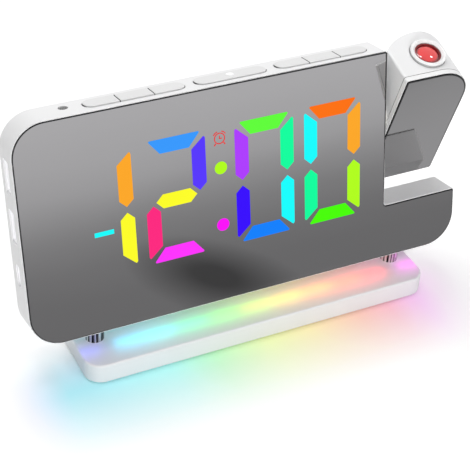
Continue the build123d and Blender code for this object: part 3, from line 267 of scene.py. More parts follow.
def key_plastic_shaded_ends(name, colour):
    """A press key's matt plastic, with painted shade on the end walls that face the next key."""
    s = Shader(name)
    sideways = s.calc("ABSOLUTE", s.split(s.normal())["X"])
    wall = s.spread(sideways, 0.0, 1.0, 0.75, 0.98)
    cloud = s.clouded(s.noise(60.0), colour, 0.03)
    s.feed(s.mix(wall, cloud, shade(colour, 0.10)), "Base Color")
    s.feed(s.spread(s.noise(300.0), 0.42, 0.55), "Roughness")
    s.bump(s.noise(1300.0, 2.0), 0.12, 0.00003)
    return s.material


def ring_plastic_shaded_wall(name, colour):
    """Glossy ring: pale on its rim, with painted shade that makes its outer wall greyer."""
    s = Shader(name)
    rim = s.spread(s.dot(s.normal(), arm.up), 0.0, 1.0, 0.15, 0.45)
    cloud = s.clouded(s.noise(120.0), colour, 0.03)
    s.feed(s.mix(rim, shade(colour, 0.50), cloud), "Base Color")
    s.feed(s.spread(s.noise(300.0), 0.22, 0.32), "Roughness")
    s.bump(s.noise(900.0, 2.0), 0.10, 0.00002)
    s.set(Coat_Weight=0.3)
    return s.material


def chrome(name):
    """Polished tube, with a room's reflections painted into its colour as light and dark stripes
    along it.
    """
    s = Shader(name)
    painted_reflections = (
        (0.38, (0.02, 0.02, 0.022, 1)),
        (0.45, (0.42, 0.40, 0.37, 1)),
        (0.50, (0.95, 0.95, 0.96, 1)),
        (0.55, (0.04, 0.04, 0.042, 1)),
        (0.62, (0.92, 0.90, 0.86, 1)),
    )
    s.feed(s.ramp(s.noise(1000.0, 2.0, 0.5, (1, 1, 0.01)), painted_reflections), "Base Color")
    s.feed(s.spread(s.noise(200.0), 0.05, 0.10), "Roughness")
    s.set(Metallic=1.0)
    return s.material


def mesh_cloth(name):
    """Fine black mesh behind the sensor hole."""
    s = Shader(name)
    edges = s.cells(2600.0, feature="DISTANCE_TO_EDGE")
    threads = s.spread(edges, 1.0, 0.0, 0.06, 0.16)
    s.feed(s.mix(threads, (0.012, 0.012, 0.012, 1), (0.42, 0.42, 0.42, 1)), "Base Color")
    s.bump(threads, 0.4, 0.00005)
    s.set(Roughness=0.6)
    return s.material


def metal(name, colour, roughness=0.25, brush=(1, 1, 1), scale=700.0, variation=0.08):
    """Bare metal with brushing that is stretched along one direction."""
    s = Shader(name)
    lines = s.noise(scale, 6.0, 0.6, brush)
    s.feed(s.clouded(lines, colour, variation), "Base Color")
    s.feed(s.spread(lines, roughness * 0.7, roughness * 1.4), "Roughness")
    s.bump(lines, 0.10, 0.00001)
    s.set(Metallic=1.0)
    return s.material


def board(name, colour):
    """Circuit board: solder mask over copper areas."""
    s = Shader(name)
    areas = s.cells(420.0, feature="F1", distance="CHEBYCHEV")
    copper = s.spread(areas, 0, 1, 0.35, 0.40)
    s.feed(s.mix(copper, shade(colour, 0.8), shade(colour, 1.25)), "Base Color")
    s.feed(s.spread(s.noise(300.0), 0.32, 0.5), "Roughness")
    s.bump(areas, 0.15, 0.00003)
    return s.material


def mirror_plate(name, panel, tint, edge_tint):
    """Half-silvered glass: mirror face with faint smears, and a dark polished edge."""
    s = Shader(name)
    smear = s.noise(24.0, 6.0, 0.65, (1.0, 1.0, 2.2))
    s.feed(s.spread(smear, 0.03, 0.07), "Roughness")
    face = s.spread(s.dot(s.normal(), -panel.back), 0.0, 1.0, 0.90, 0.97)
    s.feed(s.mix(face, edge_tint, s.clouded(smear, tint, 0.015)), "Base Color")
    s.feed(face, "Metallic")
    s.feed(s.spread(face, 0.08, 0.5, 0.0, 1.0), "Specular IOR Level")
    s.bump(s.noise(7.0, 2.0), 0.02, 0.00004)
    return s.material


# Colours of the glow along the clock's width: (x in mm, colour)
GLOW = [
    (-110, (0.45, 0.50, 1.00)),
    (-90, (0.05, 0.86, 1.00)),
    (-72, (0.00, 0.88, 1.00)),
    (-45, (0.00, 1.00, 0.90)),
    (-25, (0.15, 1.00, 0.25)),
    (0, (0.80, 1.00, 0.03)),
    (20, (1.00, 0.75, 0.00)),
    (45, (1.00, 0.25, 0.05)),
    (60, (1.00, 0.12, 0.30)),
    (75, (1.00, 0.28, 0.96)),
    (85, (1.00, 0.50, 0.98)),
    (95, (1.00, 0.70, 1.00)),
    (110, (0.96, 0.85, 1.00)),
]
GLOW_REACH = 110.0


def glow_colour(s):
    """The glow's colour at a point, from its x."""
    along = s.spread(s.split(s.place)["X"], 0.0, 1.0, -GLOW_REACH * MM, GLOW_REACH * MM)
    stops = [((x + GLOW_REACH) / (2 * GLOW_REACH), (*colour, 1.0)) for x, colour in GLOW]
    return s.ramp(along, stops)


def glow_bar(name, strength):
    """Frosted light bar, lit in many colours along its length."""
    s = Shader(name)
    frost = s.mix(s.noise(500.0), (0.93, 0.93, 0.93, 1), (0.98, 0.98, 0.98, 1))
    s.feed(frost, "Base Color")
    s.feed(glow_colour(s), "Emission Color")
    s.set(Emission_Strength=strength, Roughness=0.5)
    s.bump(s.noise(1500.0), 0.1, 0.00002)
    return s.material


def lens_glass(name, colour, transmission, roughness=0.04):
    """Clear or smoked glass of an inner lens or slide."""
    s = Shader(name)
    s.feed(s.clouded(s.noise(80.0), colour, 0.08), "Base Color")
    s.feed(s.spread(s.noise(160.0), roughness * 0.8, roughness * 1.3), "Roughness")
    s.set(Transmission_Weight=transmission, IOR=1.49, Coat_Weight=1.0, Coat_Roughness=0.02)
    return s.material


# The lit part of the projection lens fades to its dark rim between these shares of its radius
LENS_LIT = 0.74
LENS_RIM = 0.92


def projection_glass(name, colour, rim_colour, glow):
    """The lit lens: red glass that glows from behind, with a dark narrow ring at its edge."""
    lens = [vertex.co for vertex in nodes["projection_lens"].data.vertices]
    across = [co.x for co in lens]
    behind = [co.dot(arm.back) for co in lens]
    radius = (max(across) - min(across)) / 2
    s = Shader(name)
    offsets = [
        s.calc("SUBTRACT", value, (max(extent) + min(extent)) / 2)
        for value, extent in (
            (s.split(s.place)["X"], across),
            (s.dot(s.place, arm.back), behind),
        )
    ]
    away = s.flat_length(*offsets)
    edge = s.spread(away, 0.0, 1.0, radius * LENS_LIT, radius * LENS_RIM)
    tone = s.mix(edge, s.clouded(s.noise(160.0), colour, 0.15), rim_colour)
    s.feed(tone, "Base Color")
    s.feed(tone, "Emission Color")
    s.feed(s.spread(s.noise(160.0), 0.03, 0.05), "Roughness")
    s.set(Transmission_Weight=0.3, IOR=1.49, Coat_Weight=1.0, Coat_Roughness=0.02)
    s.set(Emission_Strength=glow)
    return s.material


# ---------------------------------------------------------------- finishes of the CAD pieces
shell_white = plastic("shell_white", (0.86, 0.86, 0.865, 1.0), 0.34)
rear_white = plastic(
    "rear_white", (0.84, 0.84, 0.845, 1.0), 0.42, grain=1400.0, grain_height=0.00003
)
base_white = plastic("base_white", (0.80, 0.80, 0.815, 1.0), 0.36)
key_white = key_plastic_shaded_ends("key_white", (0.77, 0.77, 0.77, 1.0))
# The arm and its bezel take painted shade in their joins and gaps
arm_white = plastic("arm_white", (0.82, 0.82, 0.825, 1.0), 0.34, shade_gaps=True)
bezel_white = plastic("bezel_white", (0.86, 0.86, 0.86, 1.0), 0.30, shade_gaps=True)
ring_white = ring_plastic_shaded_wall("ring_white", (0.88, 0.88, 0.88, 1.0))
base_grey = plastic("base_grey", (0.30, 0.30, 0.31, 1.0), 0.6, 0.08)
optics_black = plastic("optics_black", (0.02, 0.02, 0.02, 1.0), 0.55, 0.1)
switch_black = plastic("switch_black", (0.03, 0.03, 0.03, 1.0), 0.4, 0.1)
bush_white = plastic("bush_white", (0.75, 0.74, 0.71, 1.0), 0.45)
tongue_white = plastic("tongue_white", (0.82, 0.82, 0.80, 1.0), 0.5)
cell_red = plastic("cell_red", (0.25, 0.012, 0.014, 1.0), 0.35, 0.1)
foot_rubber = plastic("foot_rubber", (0.05, 0.05, 0.055, 1.0), 0.85, 0.15, 1800.0, 0.00008)
screw_steel = metal("screw_steel", (0.55, 0.55, 0.56, 1.0), 0.3)
cell_steel = metal("cell_steel", (0.66, 0.66, 0.67, 1.0), 0.28, (1, 8, 1))
pivot_steel = metal("pivot_steel", (0.58, 0.58, 0.60, 1.0), 0.25, (8, 1, 1))
ballast_iron = metal("ballast_iron", (0.30, 0.30, 0.31, 1.0), 0.5, (1, 6, 1), 300.0, 0.2)
post_chrome = chrome("post_chrome")
sensor_black = mesh_cloth("sensor_black")
# The sockets glow faintly: painted light that makes their mouths show paler than the wall
socket_painted_glow = plastic("socket_painted_glow", (0.86, 0.86, 0.88, 1.0), 0.35, glow=0.3)
board_green = board("board_green", (0.02, 0.12, 0.05, 1.0))
board_white = board("board_white", (0.62, 0.62, 0.60, 1.0))
slide_glass = lens_glass("slide_glass", (0.10, 0.10, 0.10, 1.0), 0.6)
condenser_glass = lens_glass("condenser_glass", (0.90, 0.93, 0.93, 1.0), 1.0)
projection_red = projection_glass(
    "projection_red", (0.60, 0.012, 0.014, 1.0), (0.10, 0.004, 0.006, 1.0), 0.44
)
MIRROR_TINT = (0.41, 0.405, 0.41, 1.0)
EDGE_TINT = (0.012, 0.012, 0.014, 1.0)
body_mirror = mirror_plate("body_mirror", body, MIRROR_TINT, EDGE_TINT)
arm_mirror = mirror_plate("arm_mirror", arm, MIRROR_TINT, EDGE_TINT)
glow_frost = glow_bar("glow_frost", 1.0)
guide_frost = plastic("guide_frost", (0.86, 0.86, 0.84, 1.0), 0.5)
mask_black = plastic("mask_black", (0.015, 0.015, 0.015, 1.0), 0.7, 0.1)
speaker_black = plastic("speaker_black", (0.03, 0.03, 0.03, 1.0), 0.6, 0.15)

LEFT_KEYS = ["left_key_1", "left_key_2", "left_key_3"]
RIGHT_KEYS = ["right_key_1", "right_key_2", "right_key_3"]
BODY_SCREWS = ["board_screws", "rear_screws", "battery_door_screw"]
FINISHES = {
    shell_white: ["front_shell"],
    arm_white: ["arm_housing"],
    rear_white: ["rear_shell", "battery_door"],
    base_white: ["base_shell"],
    key_white: [*LEFT_KEYS, "snooze_key", *RIGHT_KEYS],
    bezel_white: ["arm_bezel"],
    ring_white: ["focus_ring"],
    base_grey: ["base_cover"],
    optics_black: ["lens_tube", "optics_box"],
    sensor_black: ["sensor_mesh"],
    switch_black: ["tact_switches"],
    bush_white: ["pivot_bush", "friction_washer"],
    tongue_white: ["usb_tongues"],
    cell_red: ["lens_cell"],
    foot_rubber: ["foot_pads"],
    screw_steel: ["base_cover_screws", "post_screws", *BODY_SCREWS, "arm_screws"],
    cell_steel: ["battery_contact", "coin_cell"],
    pivot_steel: ["pivot_axle", "wave_washer", "retaining_clip"],
    ballast_iron: ["base_ballast"],
    post_chrome: ["post_left", "post_right"],
    socket_painted_glow: ["usb_sockets", "power_inlet"],
    board_green: ["key_board", "display_board", "main_board", "lamp_board"],
    board_white: ["glow_board"],
    slide_glass: ["time_slide"],
    condenser_glass: ["condenser_lens"],
    projection_red: ["projection_lens"],
    body_mirror: ["mirror_panel"],
    arm_mirror: ["arm_mirror"],
    glow_frost: ["glow_diffuser"],
    guide_frost: ["light_guides"],
    mask_black: ["light_mask"],
    speaker_black: ["speaker"],
}


def dress(name, material):
    """Puts one material on a whole CAD node."""
    mesh = nodes[name].data
    mesh.materials.clear()
    mesh.materials.append(material)
    for polygon in mesh.polygons:
        polygon.material_index = 0


for material, names in FINISHES.items():
    for name in names:
        dress(name, material)


# ---------------------------------------------------------------- lit display on the mirror's face
def flat_piece(name, outlines, panel, front, back, materials):
    """Flat outlines in a panel's (x, up), made as thick as from front to back in its depth.

    Each outline is (index of its material, points)."""
    mesh = bpy.data.meshes.new(name)
    bm = bmesh.new()
    for index, points in outlines:
        rear = [bm.verts.new(panel.point(x, up, back)) for x, up in points]
        fore = [bm.verts.new(panel.point(x, up, front)) for x, up in points]
        faces = [bm.faces.new(fore), bm.faces.new(list(reversed(rear)))]
        for i in range(len(points)):
            j = (i + 1) % len(points)
            faces.append(bm.faces.new([fore[i], rear[i], rear[j], fore[j]]))
        for face in faces:
            face.material_index = index
    bmesh.ops.recalc_face_normals(bm, faces=bm.faces)
    bm.to_mesh(mesh)
    bm.free()
    for material in materials:
        mesh.materials.append(material)
    return add_object(name, mesh)


def arc(x, up, radius, start, end, count):
    """Points on part of a circle, with both of its ends."""
    angles = [start + (end - start) * i / (count - 1) for i in range(count)]
    return [(x + radius * math.cos(a), up + radius * math.sin(a)) for a in angles]


def circle(x, up, radius, count=40):
    """Points round a whole circle."""
    return arc(x, up, radius, 0.0, 2 * math.pi, count + 1)[:-1]


def band(x, up, inner, outer, start, end, count=24):
    """Part of a ring as one outline."""
    outside = arc(x, up, outer, start, end, count)
    return outside + list(reversed(arc(x, up, inner, start, end, count)))


def box(left, right, low, high):
    """The corners of an upright rectangle."""
    return [(left, low), (right, low), (right, high), (left, high)]


DIGIT_HEIGHT = 53.6
DIGIT_WIDTH = 26.8
DIGIT_STROKE = 6.1
DIGIT_MIDDLE = 52.1
DIGIT_LEFTS = (-79.3, -47.4, -7.6, 24.2)


def upright_segment(left, outward, upward):
    """A digit's side segment: mitred at the digit's corner, pointed at its middle.

    Its points are measured from the stroke's middle and the digit's middle."""
    half = DIGIT_STROKE / 2
    x = left + DIGIT_WIDTH / 2 + outward * (DIGIT_WIDTH - DIGIT_STROKE) / 2
    points = [
        (half, 23.4),
        (half - 0.25, 24.0),
        (half - 0.75, 24.2),
        (-half, 19.5),
        (-half, 4.15),
        (0, 1.28),
        (half, 4.15),
    ]
    return [(x + outward * px, DIGIT_MIDDLE + upward * py) for px, py in points]


def level_segment(left, level):
    """A digit's top (1), middle (0) or bottom (-1) segment."""
    half = DIGIT_STROKE / 2
    x = left + DIGIT_WIDTH / 2
    y = DIGIT_MIDDLE + level * (DIGIT_HEIGHT - DIGIT_STROKE) / 2
    if level == 0:
        right_side = [(6.0, -half), (8.95, 0), (6.0, half)]
    else:
        right_side = [(6.3, -half), (10.75, half - 0.75), (10.85, half - 0.25), (10.4, half)]
    points = right_side + [(-px, py) for px, py in reversed(right_side)]
    return [(x + px, y + (level or 1) * py) for px, py in points]


LIT_COLOURS = {
    "amber": srgb(255, 170, 45),
    "yellow": srgb(255, 255, 45),
    "sky": srgb(60, 155, 255),
    "indigo": srgb(90, 60, 255),
    "rose": srgb(255, 45, 130),
    "magenta": srgb(255, 55, 255),
    "lime": srgb(178, 255, 35),
    "red": srgb(235, 60, 60),
    "cyan": srgb(30, 255, 255),
    "leaf": srgb(75, 255, 15),
    "spring": srgb(98, 255, 62),
    "violet": srgb(175, 65, 255),
    "mint": srgb(25, 255, 160),
    "deep": srgb(60, 20, 255),
    "azure": srgb(25, 130, 255),
    "orange": srgb(255, 115, 25),
    "fuchsia": srgb(252, 22, 250),
}


def lit_material(name, colour):
    """Light that shines through the mirror, a little uneven as lamps behind a diffuser are."""
    s = Shader(f"lit_{name}")
    uneven = s.mix(s.noise(60.0, 2.0), shade(colour, 0.96), shade(colour, 1.0))
    s.feed(uneven, "Emission Color")
    s.set(Base_Color=(0.0, 0.0, 0.0, 1.0), Emission_Strength=1.0)
    s.set(Roughness=0.4, Specular_IOR_Level=0.0)
    return s.material


first, second, third, fourth = DIGIT_LEFTS
lit = [
    ("amber", upright_segment(first, 1, 1)),
    ("yellow", upright_segment(first, 1, -1)),
    ("sky", level_segment(second, 1)),
    ("indigo", upright_segment(second, 1, 1)),
    ("yellow", level_segment(second, 0)),
    ("rose", upright_segment(second, -1, -1)),
    ("magenta", level_segment(second, -1)),
    ("spring", level_segment(third, 1)),
    ("violet", upright_segment(third, -1, 1)),
    ("mint", upright_segment(third, 1, 1)),
    ("deep", upright_segment(third, -1, -1)),
    ("cyan", upright_segment(third, 1, -1)),
    ("azure", level_segment(third, -1)),
    ("orange", level_segment(fourth, 1)),
    ("cyan", upright_segment(fourth, -1, 1)),
    ("amber", upright_segment(fourth, 1, 1)),
    ("mint", upright_segment(fourth, -1, -1)),
    ("lime", upright_segment(fourth, 1, -1)),
    ("leaf", level_segment(fourth, -1)),
]
COLON_X = -14.1
COLON_DOTS = (("lime", 60.9, 2.75), ("fuchsia", 35.4, 2.8))
for colour, up, radius in COLON_DOTS:
    lit.append((colour, circle(COLON_X, up, radius)))
# A plain bar in place of the half-day lettering
HALF_DAY_BAR = box(-69.9, -61.7, 43.2, 45.2)
lit.append(("cyan", HALF_DAY_BAR))

# A plain ringing clock as the alarm mark: its ring, a bell and a foot on each side, two hands
ALARM = (COLON_X - 0.1, 73.75)
RING = 2.45
STROKE = 0.42
BELL = RING + 0.45
BELL_LEAN = math.radians(38)
BELL_SPAN = 0.36
FOOT = [(1.55, -2.1), (1.95, -1.8), (2.6, -2.75), (2.2, -3.05)]
lit.append(("red", band(*ALARM, RING - STROKE, RING, 0.0, math.pi)))
lit.append(("red", band(*ALARM, RING - STROKE, RING, math.pi, 2 * math.pi)))
for side in (-1, 1):
    middle = math.pi / 2 - side * BELL_LEAN
    bell = band(*ALARM, BELL, BELL + STROKE, middle - BELL_SPAN, middle + BELL_SPAN, 10)
    lit.append(("red", bell))
    lit.append(("red", [(ALARM[0] + side * x, ALARM[1] + y) for x, y in FOOT]))
lit.append(("red", box(COLON_X - 0.3, COLON_X + 0.1, 73.5, 74.9)))
lit.append(("red", box(COLON_X + 0.1, COLON_X + 1.0, 73.5, 73.9)))

LIT_FRONT = -0.06
lit_names = list(LIT_COLOURS)
display_light = flat_piece(
    "display_light",
    [(lit_names.index(colour), points) for colour, points in lit],
    body,
    LIT_FRONT,
    0.0,
    [lit_material(name, colour) for name, colour in LIT_COLOURS.items()],
)
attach(display_light, "clock_body")


# ---------------------------------------------------------------- dark line round each mirror, partly painted shade
def face_outline(node, panel):
    """The (x, up) points round a mirror's front face, in order, taken from the CAD mesh itself."""
    mesh = nodes[node].data
    front = [polygon for polygon in mesh.polygons if polygon.normal.dot(-panel.back) > 0.99]
    keys = [tuple(round(c, 6) for c in vertex.co) for vertex in mesh.vertices]
    # The edges that no second face runs along the other way are the border
    ahead = {}
    for polygon in front:
        corners = [keys[v] for v in polygon.vertices]
        for a, b in zip(corners, corners[1:] + corners[:1]):
            if ahead.get(b, {}).pop(a, None) is None:
                ahead.setdefault(a, {})[b] = True
    loop = [next(key for key, following in ahead.items() if following)]
    while True:
        following = next(iter(ahead[loop[-1]]))
        if following == loop[0]:
            break
        loop.append(following)
    away = [Vector(key) / MM - panel.origin for key in loop]
    return [Vector((offset.x, offset.dot(panel.up))) for offset in away]


EDGE_FRONT = -0.03
EDGE_WIDTH = 0.22
edge_black_and_shade = plastic("edge_black_and_shade", (0.008, 0.008, 0.009, 1.0), 0.35, 0.2)


def edge_line(name, node, panel, inward, outward, rider):
    """Thin black line round a mirror's face: the glass's dark edge inward, and painted shade of a
    gap where it reaches outward; each width is a function of the point's (x, up).
    """
    places = face_outline(node, panel)
    inner, outer = [], []
    for before, here, after in zip(places[-1:] + places[:-1], places, places[1:] + places[:1]):
        come, go = (here - before).normalized(), (after - here).normalized()
        along = (come + go).normalized()
        inside = Vector((-along.y, along.x)) / max(0.5, along.dot(go))
        inner.append(here + inside * inward(here))
        outer.append(here - inside * outward(here))
    quads = []
    for i in range(len(places)):
        j = (i + 1) % len(places)
        quads.append((0, [outer[i], outer[j], inner[j], inner[i]]))
    line = flat_piece(name, quads, panel, EDGE_FRONT, 0.0, [edge_black_and_shade])
    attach(line, rider)


# The body's line also reaches outward at the step of the cut-out, above a height and in a span, as
# painted shadow of the gap beside the arm
STEP_UP = 80
STEP_LEFT = 50
STEP_RIGHT = 70
STEP_SHADOW_WIDTH = 0.45
# The arm's line is wider above a height, round its top
ARM_TOP_UP = 55
ARM_TOP_WIDTH = 0.55
edge_line(
    "body_edge_line",
    "mirror_panel",
    body,
    lambda at: EDGE_WIDTH,
    lambda at: STEP_SHADOW_WIDTH if at.y > STEP_UP and STEP_LEFT < at.x < STEP_RIGHT else 0.0,
    "clock_body",
)
edge_line(
    "arm_edge_line",
    "arm_mirror",
    arm,
    lambda at: ARM_TOP_WIDTH if at.y > ARM_TOP_UP else EDGE_WIDTH,
    lambda at: 0.0,
    "projector_arm",
)


# ---------------------------------------------------------------- dot on the snooze key
def dome_mesh(name, centre, radius, height, count=28):
    """A low dome on the body's top edge, made of rings and a crown point."""
    mesh = bpy.data.meshes.new(name)
    bm = bmesh.new()
    rings = []
    for share in (1.0, 0.85, 0.6, 0.3):
        lift = body.up * height * math.sqrt(1 - share**2)
        ring = []
        for step in range(count):
            angle = 2 * math.pi * step / count
            sideways = Vector((math.cos(angle), 0, 0)) + body.back * math.sin(angle)
            ring.append(bm.verts.new(centre + (sideways * radius * share + lift) * MM))
        rings.append(ring)
    crown = bm.verts.new(centre + body.up * height * MM)
    for low, high in zip(rings, rings[1:]):
        for i in range(count):
            j = (i + 1) % count
            bm.faces.new([low[i], low[j], high[j], high[i]])
    for i in range(count):
        bm.faces.new([rings[-1][i], rings[-1][(i + 1) % count], crown])
    bm.faces.new(list(reversed(rings[0])))
    bmesh.ops.recalc_face_normals(bm, faces=bm.faces)
    for face in bm.faces:
        face.smooth = len(face.verts) < 5
    bm.to_mesh(mesh)
    bm.free()
    return mesh


# A small raised dot in the middle of the snooze key, to find it by touch
DOT_RADIUS = 1.8
DOT_HEIGHT = 0.45
dot_mesh = dome_mesh("snooze_dot", body.point(-5.0, 96.55, 7.8), DOT_RADIUS, DOT_HEIGHT)
# The dot's faint glow is painted light, since it holds no lamp
dot_mesh.materials.append(plastic("dot_painted_glow", (0.92, 0.92, 0.92, 1.0), 0.3, glow=0.15))
snooze_dot = add_object("snooze_dot", dot_mesh)
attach(snooze_dot, "snooze_button")


# ---------------------------------------------------------------- stage
class Stage(Shader):
    """A material of the stage, with no Principled shader: other shaders make up its surface."""

    def __init__(self, name):
        super().__init__(name)
        self.tree.nodes.remove(self.shader)

    def emission(self, colour, strength):
        made = self.node("ShaderNodeEmission")
        self.put_all((colour, strength), made.inputs)
        return made.outputs["Emission"]

    def surface(self, shader):
        self.put(shader, self.tree.nodes["Material Output"].inputs["Surface"])
        return self.material


def seen_directly(tree):
    """1 for what the camera sees, also by way of metal and glass, and 0 for falling light."""
    paths = tree.nodes.new("ShaderNodeLightPath")
    total = paths.outputs["Is Camera Ray"]
    for kind in ("Is Glossy Ray", "Is Transmission Ray"):
        either = tree.nodes.new("ShaderNodeMath")
        either.operation = "MAXIMUM"
        tree.links.new(total, either.inputs[0])
        tree.links.new(paths.outputs[kind], either.inputs[1])
        total = either.outputs["Value"]
    return total


# Where the glow is painted on the floor, in mm. It fades with the distance from a rectangle, given
# as (middle, half size) by axis. It grows from y = 0 to the front, and ends to the left and right.
GLOW_FROM = {"X": (-9.0, 80.0), "Y": (0.0, 30.5)}
GLOW_FADE = 37.0
GLOW_FRONT = -34.0
GLOW_END = 84.0
GLOW_PAST_END = 124.0
GLOW_SHARE = 0.53
# The light that the floor adds where it is seen, and the distances in m between which it rises
LIFT_NEAR = 0.27
LIFT_FAR = 0.8
FADE_START = 0.45
FADE_END = 1.4


def floor_material():
    """White floor that takes the object's shadow, with the coloured glow round the base's front
    painted into it.
    """
    s = Stage("floor_white")
    parts = s.split(s.place)
    spans, reach = {}, []
    for axis, (centre, half) in GLOW_FROM.items():
        shifted = s.calc("SUBTRACT", parts[axis], centre * MM)
        spans[axis] = s.calc("ABSOLUTE", shifted)
        beyond = s.calc("SUBTRACT", spans[axis], half * MM)
        reach.append(s.calc("MAXIMUM", beyond, 0.0))
    near = s.spread(s.flat_length(*reach), 0.0, GLOW_SHARE, GLOW_FADE * MM, 0.0)
    front = s.spread(parts["Y"], 0.0, 1.0, 0.0, GLOW_FRONT * MM, "SMOOTHSTEP")
    ends = s.spread(spans["X"], 0.0, 1.0, GLOW_PAST_END * MM, GLOW_END * MM, "SMOOTHSTEP")
    painted_glow_amount = s.calc("MULTIPLY", s.calc("MULTIPLY", near, front), ends)
    # The glow on the floor is painted: it tints both the floor's colour and the light it gives off
    # where seen
    tint = s.mix(painted_glow_amount, (1.0, 1.0, 1.0, 1.0), glow_colour(s))
    grain = s.mix(s.noise(30.0, 3.0), (0.86, 0.86, 0.86, 1.0), (0.88, 0.88, 0.88, 1.0))
    diffuse = s.node("ShaderNodeBsdfDiffuse")
    s.put(s.mix(1.0, grain, tint, "MULTIPLY"), diffuse.inputs["Color"])
    # Far from the object, where the lamps no longer reach, the floor fades into the backdrop
    lift = s.spread(s.length(s.place), LIFT_NEAR, LIFT_FAR, FADE_START, FADE_END)
    light = s.emission(tint, s.calc("MULTIPLY", seen_directly(s.tree), lift))
    both = s.node("ShaderNodeAddShader")
    s.put_all((diffuse.outputs["BSDF"], light), both.inputs)
    return s.surface(both.outputs["Shader"])


def stage_mesh(name, points, faces, material):
    """A flat sheet of the stage."""
    mesh = bpy.data.meshes.new(name)
    mesh.from_pydata(points, [], faces)
    mesh.materials.append(material)
    return mesh


FLOOR_REACH = 4.0
floor_points = [(x, y, 0) for x, y in box(-FLOOR_REACH, FLOOR_REACH, -FLOOR_REACH, FLOOR_REACH)]
floor = add_object("floor", stage_mesh("floor", floor_points, [(0, 1, 2, 3)], floor_material()))

# Tones of the reflected card, from far off (0) to close by (1) along y: (place, grey)
CARD_FAR = -0.545
CARD_NEAR = -0.005
CARD_TONES = (
    (0.06, 0.96),
    (0.32, 0.88),
    (0.45, 0.79),
    (0.55, 0.63),
    (0.64, 0.49),
    (0.74, 0.39),
    (0.84, 0.34),
    (0.92, 0.33),
    (0.96, 0.56),
    (1.0, 0.62),
)


def card_material():
    """What the mirrors look down at: a pale wall far off and a darker tone close by."""
    s = Stage("reflected_room")
    waver = s.calc("MULTIPLY_ADD", s.noise(9.0, 2.0), 0.03, s.split(s.place)["Y"])
    along = s.spread(waver, 0.0, 1.0, CARD_FAR, CARD_NEAR)
    stops = [(place, (tone, tone, tone * 1.01, 1.0)) for place, tone in CARD_TONES]
    grey = s.ramp(along, stops)
    # A soft darker patch, where the mirror's foot looks past the near edge of a table
    away = s.length(s.mapping(Location=(-0.53, 1.45, 0.0), Scale=(38.0, 15.0, 0.0)))
    patch = s.spread(away, 0.0, 0.75, 1.3, 0.3)
    return s.surface(s.emission(s.mix(patch, grey, (0.04, 0.04, 0.04, 1.0)), 1.0))


# The card lies just over the floor, in front of the clock and past its right end. Only
# reflections show it.
CARD_HEIGHT = 0.0008
CARD_OUTLINE = (
    (-0.4, -0.75),
    (0.75, -0.75),
    (0.75, 0.03),
    (0.079, 0.03),
    (0.079, -0.03),
    (-0.4, -0.03),
)
card_points = [(x, y, CARD_HEIGHT) for x, y in CARD_OUTLINE]
card_faces = [(0, 1, 4, 5), (1, 2, 3, 4)]
card_mesh = stage_mesh("reflected_room", card_points, card_faces, card_material())
card = add_object("reflected_room", card_mesh)
card.visible_camera = False
card.visible_diffuse = False
card.visible_transmission = False
card.visible_shadow = False

# The world is white where it is seen and dimmer as a light
WORLD_LIGHT = 0.38
world = bpy.data.worlds.new("studio")
world.use_nodes = True
bpy.context.scene.world = world
tree = world.node_tree
choose = tree.nodes.new("ShaderNodeMixShader")
tree.links.new(seen_directly(tree), choose.inputs["Fac"])
dim, white = tree.nodes["Background"], tree.nodes.new("ShaderNodeBackground")
for background, strength, socket in ((dim, WORLD_LIGHT, 1), (white, 1.0, 2)):
    background.inputs["Color"].default_value = (1.0, 1.0, 1.0, 1.0)
    background.inputs["Strength"].default_value = strength
    tree.links.new(background.outputs["Background"], choose.inputs[socket])
tree.links.new(choose.outputs["Shader"], tree.nodes["World Output"].inputs["Surface"])


# ---------------------------------------------------------------- lights and camera
def area_light(name, place, target, size, power, colour=(1.0, 1.0, 1.0)):
    """A rectangular lamp at a place, turned to a target."""
    data = bpy.data.lights.new(name, "AREA")
    data.shape = "RECTANGLE"
    data.size, data.size_y = size
    data.energy = power
    data.color = colour
    lamp = add_object(name, data)
    place, target = Vector(place), Vector(target)
    lamp.location = place
    lamp.rotation_euler = (target - place).to_track_quat("-Z", "Y").to_euler()


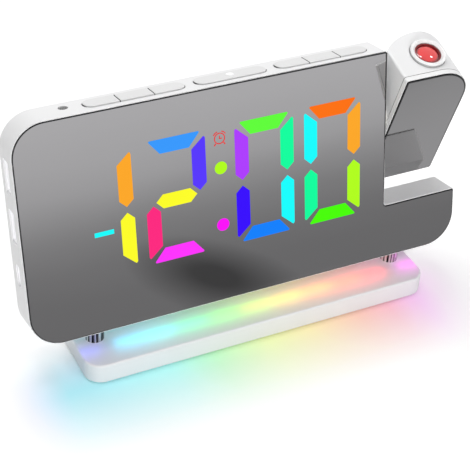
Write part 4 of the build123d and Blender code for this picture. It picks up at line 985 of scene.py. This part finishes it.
area_light("key_soft", (-0.06, 0.50, 1.05), (0, 0, 0.06), (0.7, 0.7), 6.6)
area_light("fill_left", (-0.30, -1.15, 0.16), (0, 0, 0.04), (0.5, 0.2), 6.0)
area_light("fill_right", (0.35, -0.70, 0.90), (0, 0, 0.04), (0.4, 0.3), 2.2)
area_light("spark_left", (0.208, 0.117, 0.681), (0.08, 0, 0.107), (0.03, 0.03), 0.06)
area_light("spark_right", (0.428, 0.078, 0.591), (0.08, 0, 0.107), (0.03, 0.03), 0.12)

# The glow light as lamps in its slot: (x in mm, colour, share of the lamp's power)
STRIP = [
    (-78, (0.10, 0.12, 1.00), 0.7),
    (-58, (0.00, 0.66, 1.00), 1.15),
    (-45, (0.00, 0.94, 0.88), 1.0),
    (-30, (0.00, 1.00, 0.36), 1.0),
    (-15, (0.12, 1.00, 0.05), 1.0),
    (0, (0.60, 1.00, 0.00), 1.0),
    (15, (1.00, 0.58, 0.00), 1.2),
    (30, (1.00, 0.29, 0.00), 1.4),
    (45, (1.00, 0.10, 0.00), 1.5),
    (57, (1.00, 0.00, 0.00), 1.4),
    (78, (1.00, 0.00, 0.90), 0.9),
]
STRIP_POWER = 0.00042
STRIP_Y = -18.9
STRIP_Z = 13.3
STRIP_AIM = Vector((0, -0.5, -1.0))
STRIP_SIZE = (0.014, 0.004)
for x, colour, share in STRIP:
    place = Vector((x, STRIP_Y, STRIP_Z)) * MM
    area_light(f"strip_{x}", place, place + STRIP_AIM, STRIP_SIZE, STRIP_POWER * share, colour)

CAMERA_PLACE = Vector((-226.1237, -412.8029, 386.4877)) * MM
CAMERA_RIGHT = Vector((0.896511, -0.439567, 0.055215))
CAMERA_UP = Vector((0.224984, 0.559099, 0.797991))
CAMERA_BACK = Vector((-0.381641, -0.702986, 0.600134))
camera_data = bpy.data.cameras.new("camera")
camera_data.sensor_width = 36.0
camera_data.lens = 105.0317
camera_data.clip_start = 0.01
camera_data.clip_end = 50.0
camera = add_object("camera", camera_data)
turn = Matrix((CAMERA_RIGHT, CAMERA_UP, CAMERA_BACK)).transposed()
camera.matrix_world = Matrix.Translation(CAMERA_PLACE) @ turn.to_4x4()
bpy.context.scene.camera = camera
bpy.context.scene.view_settings.view_transform = "Standard"
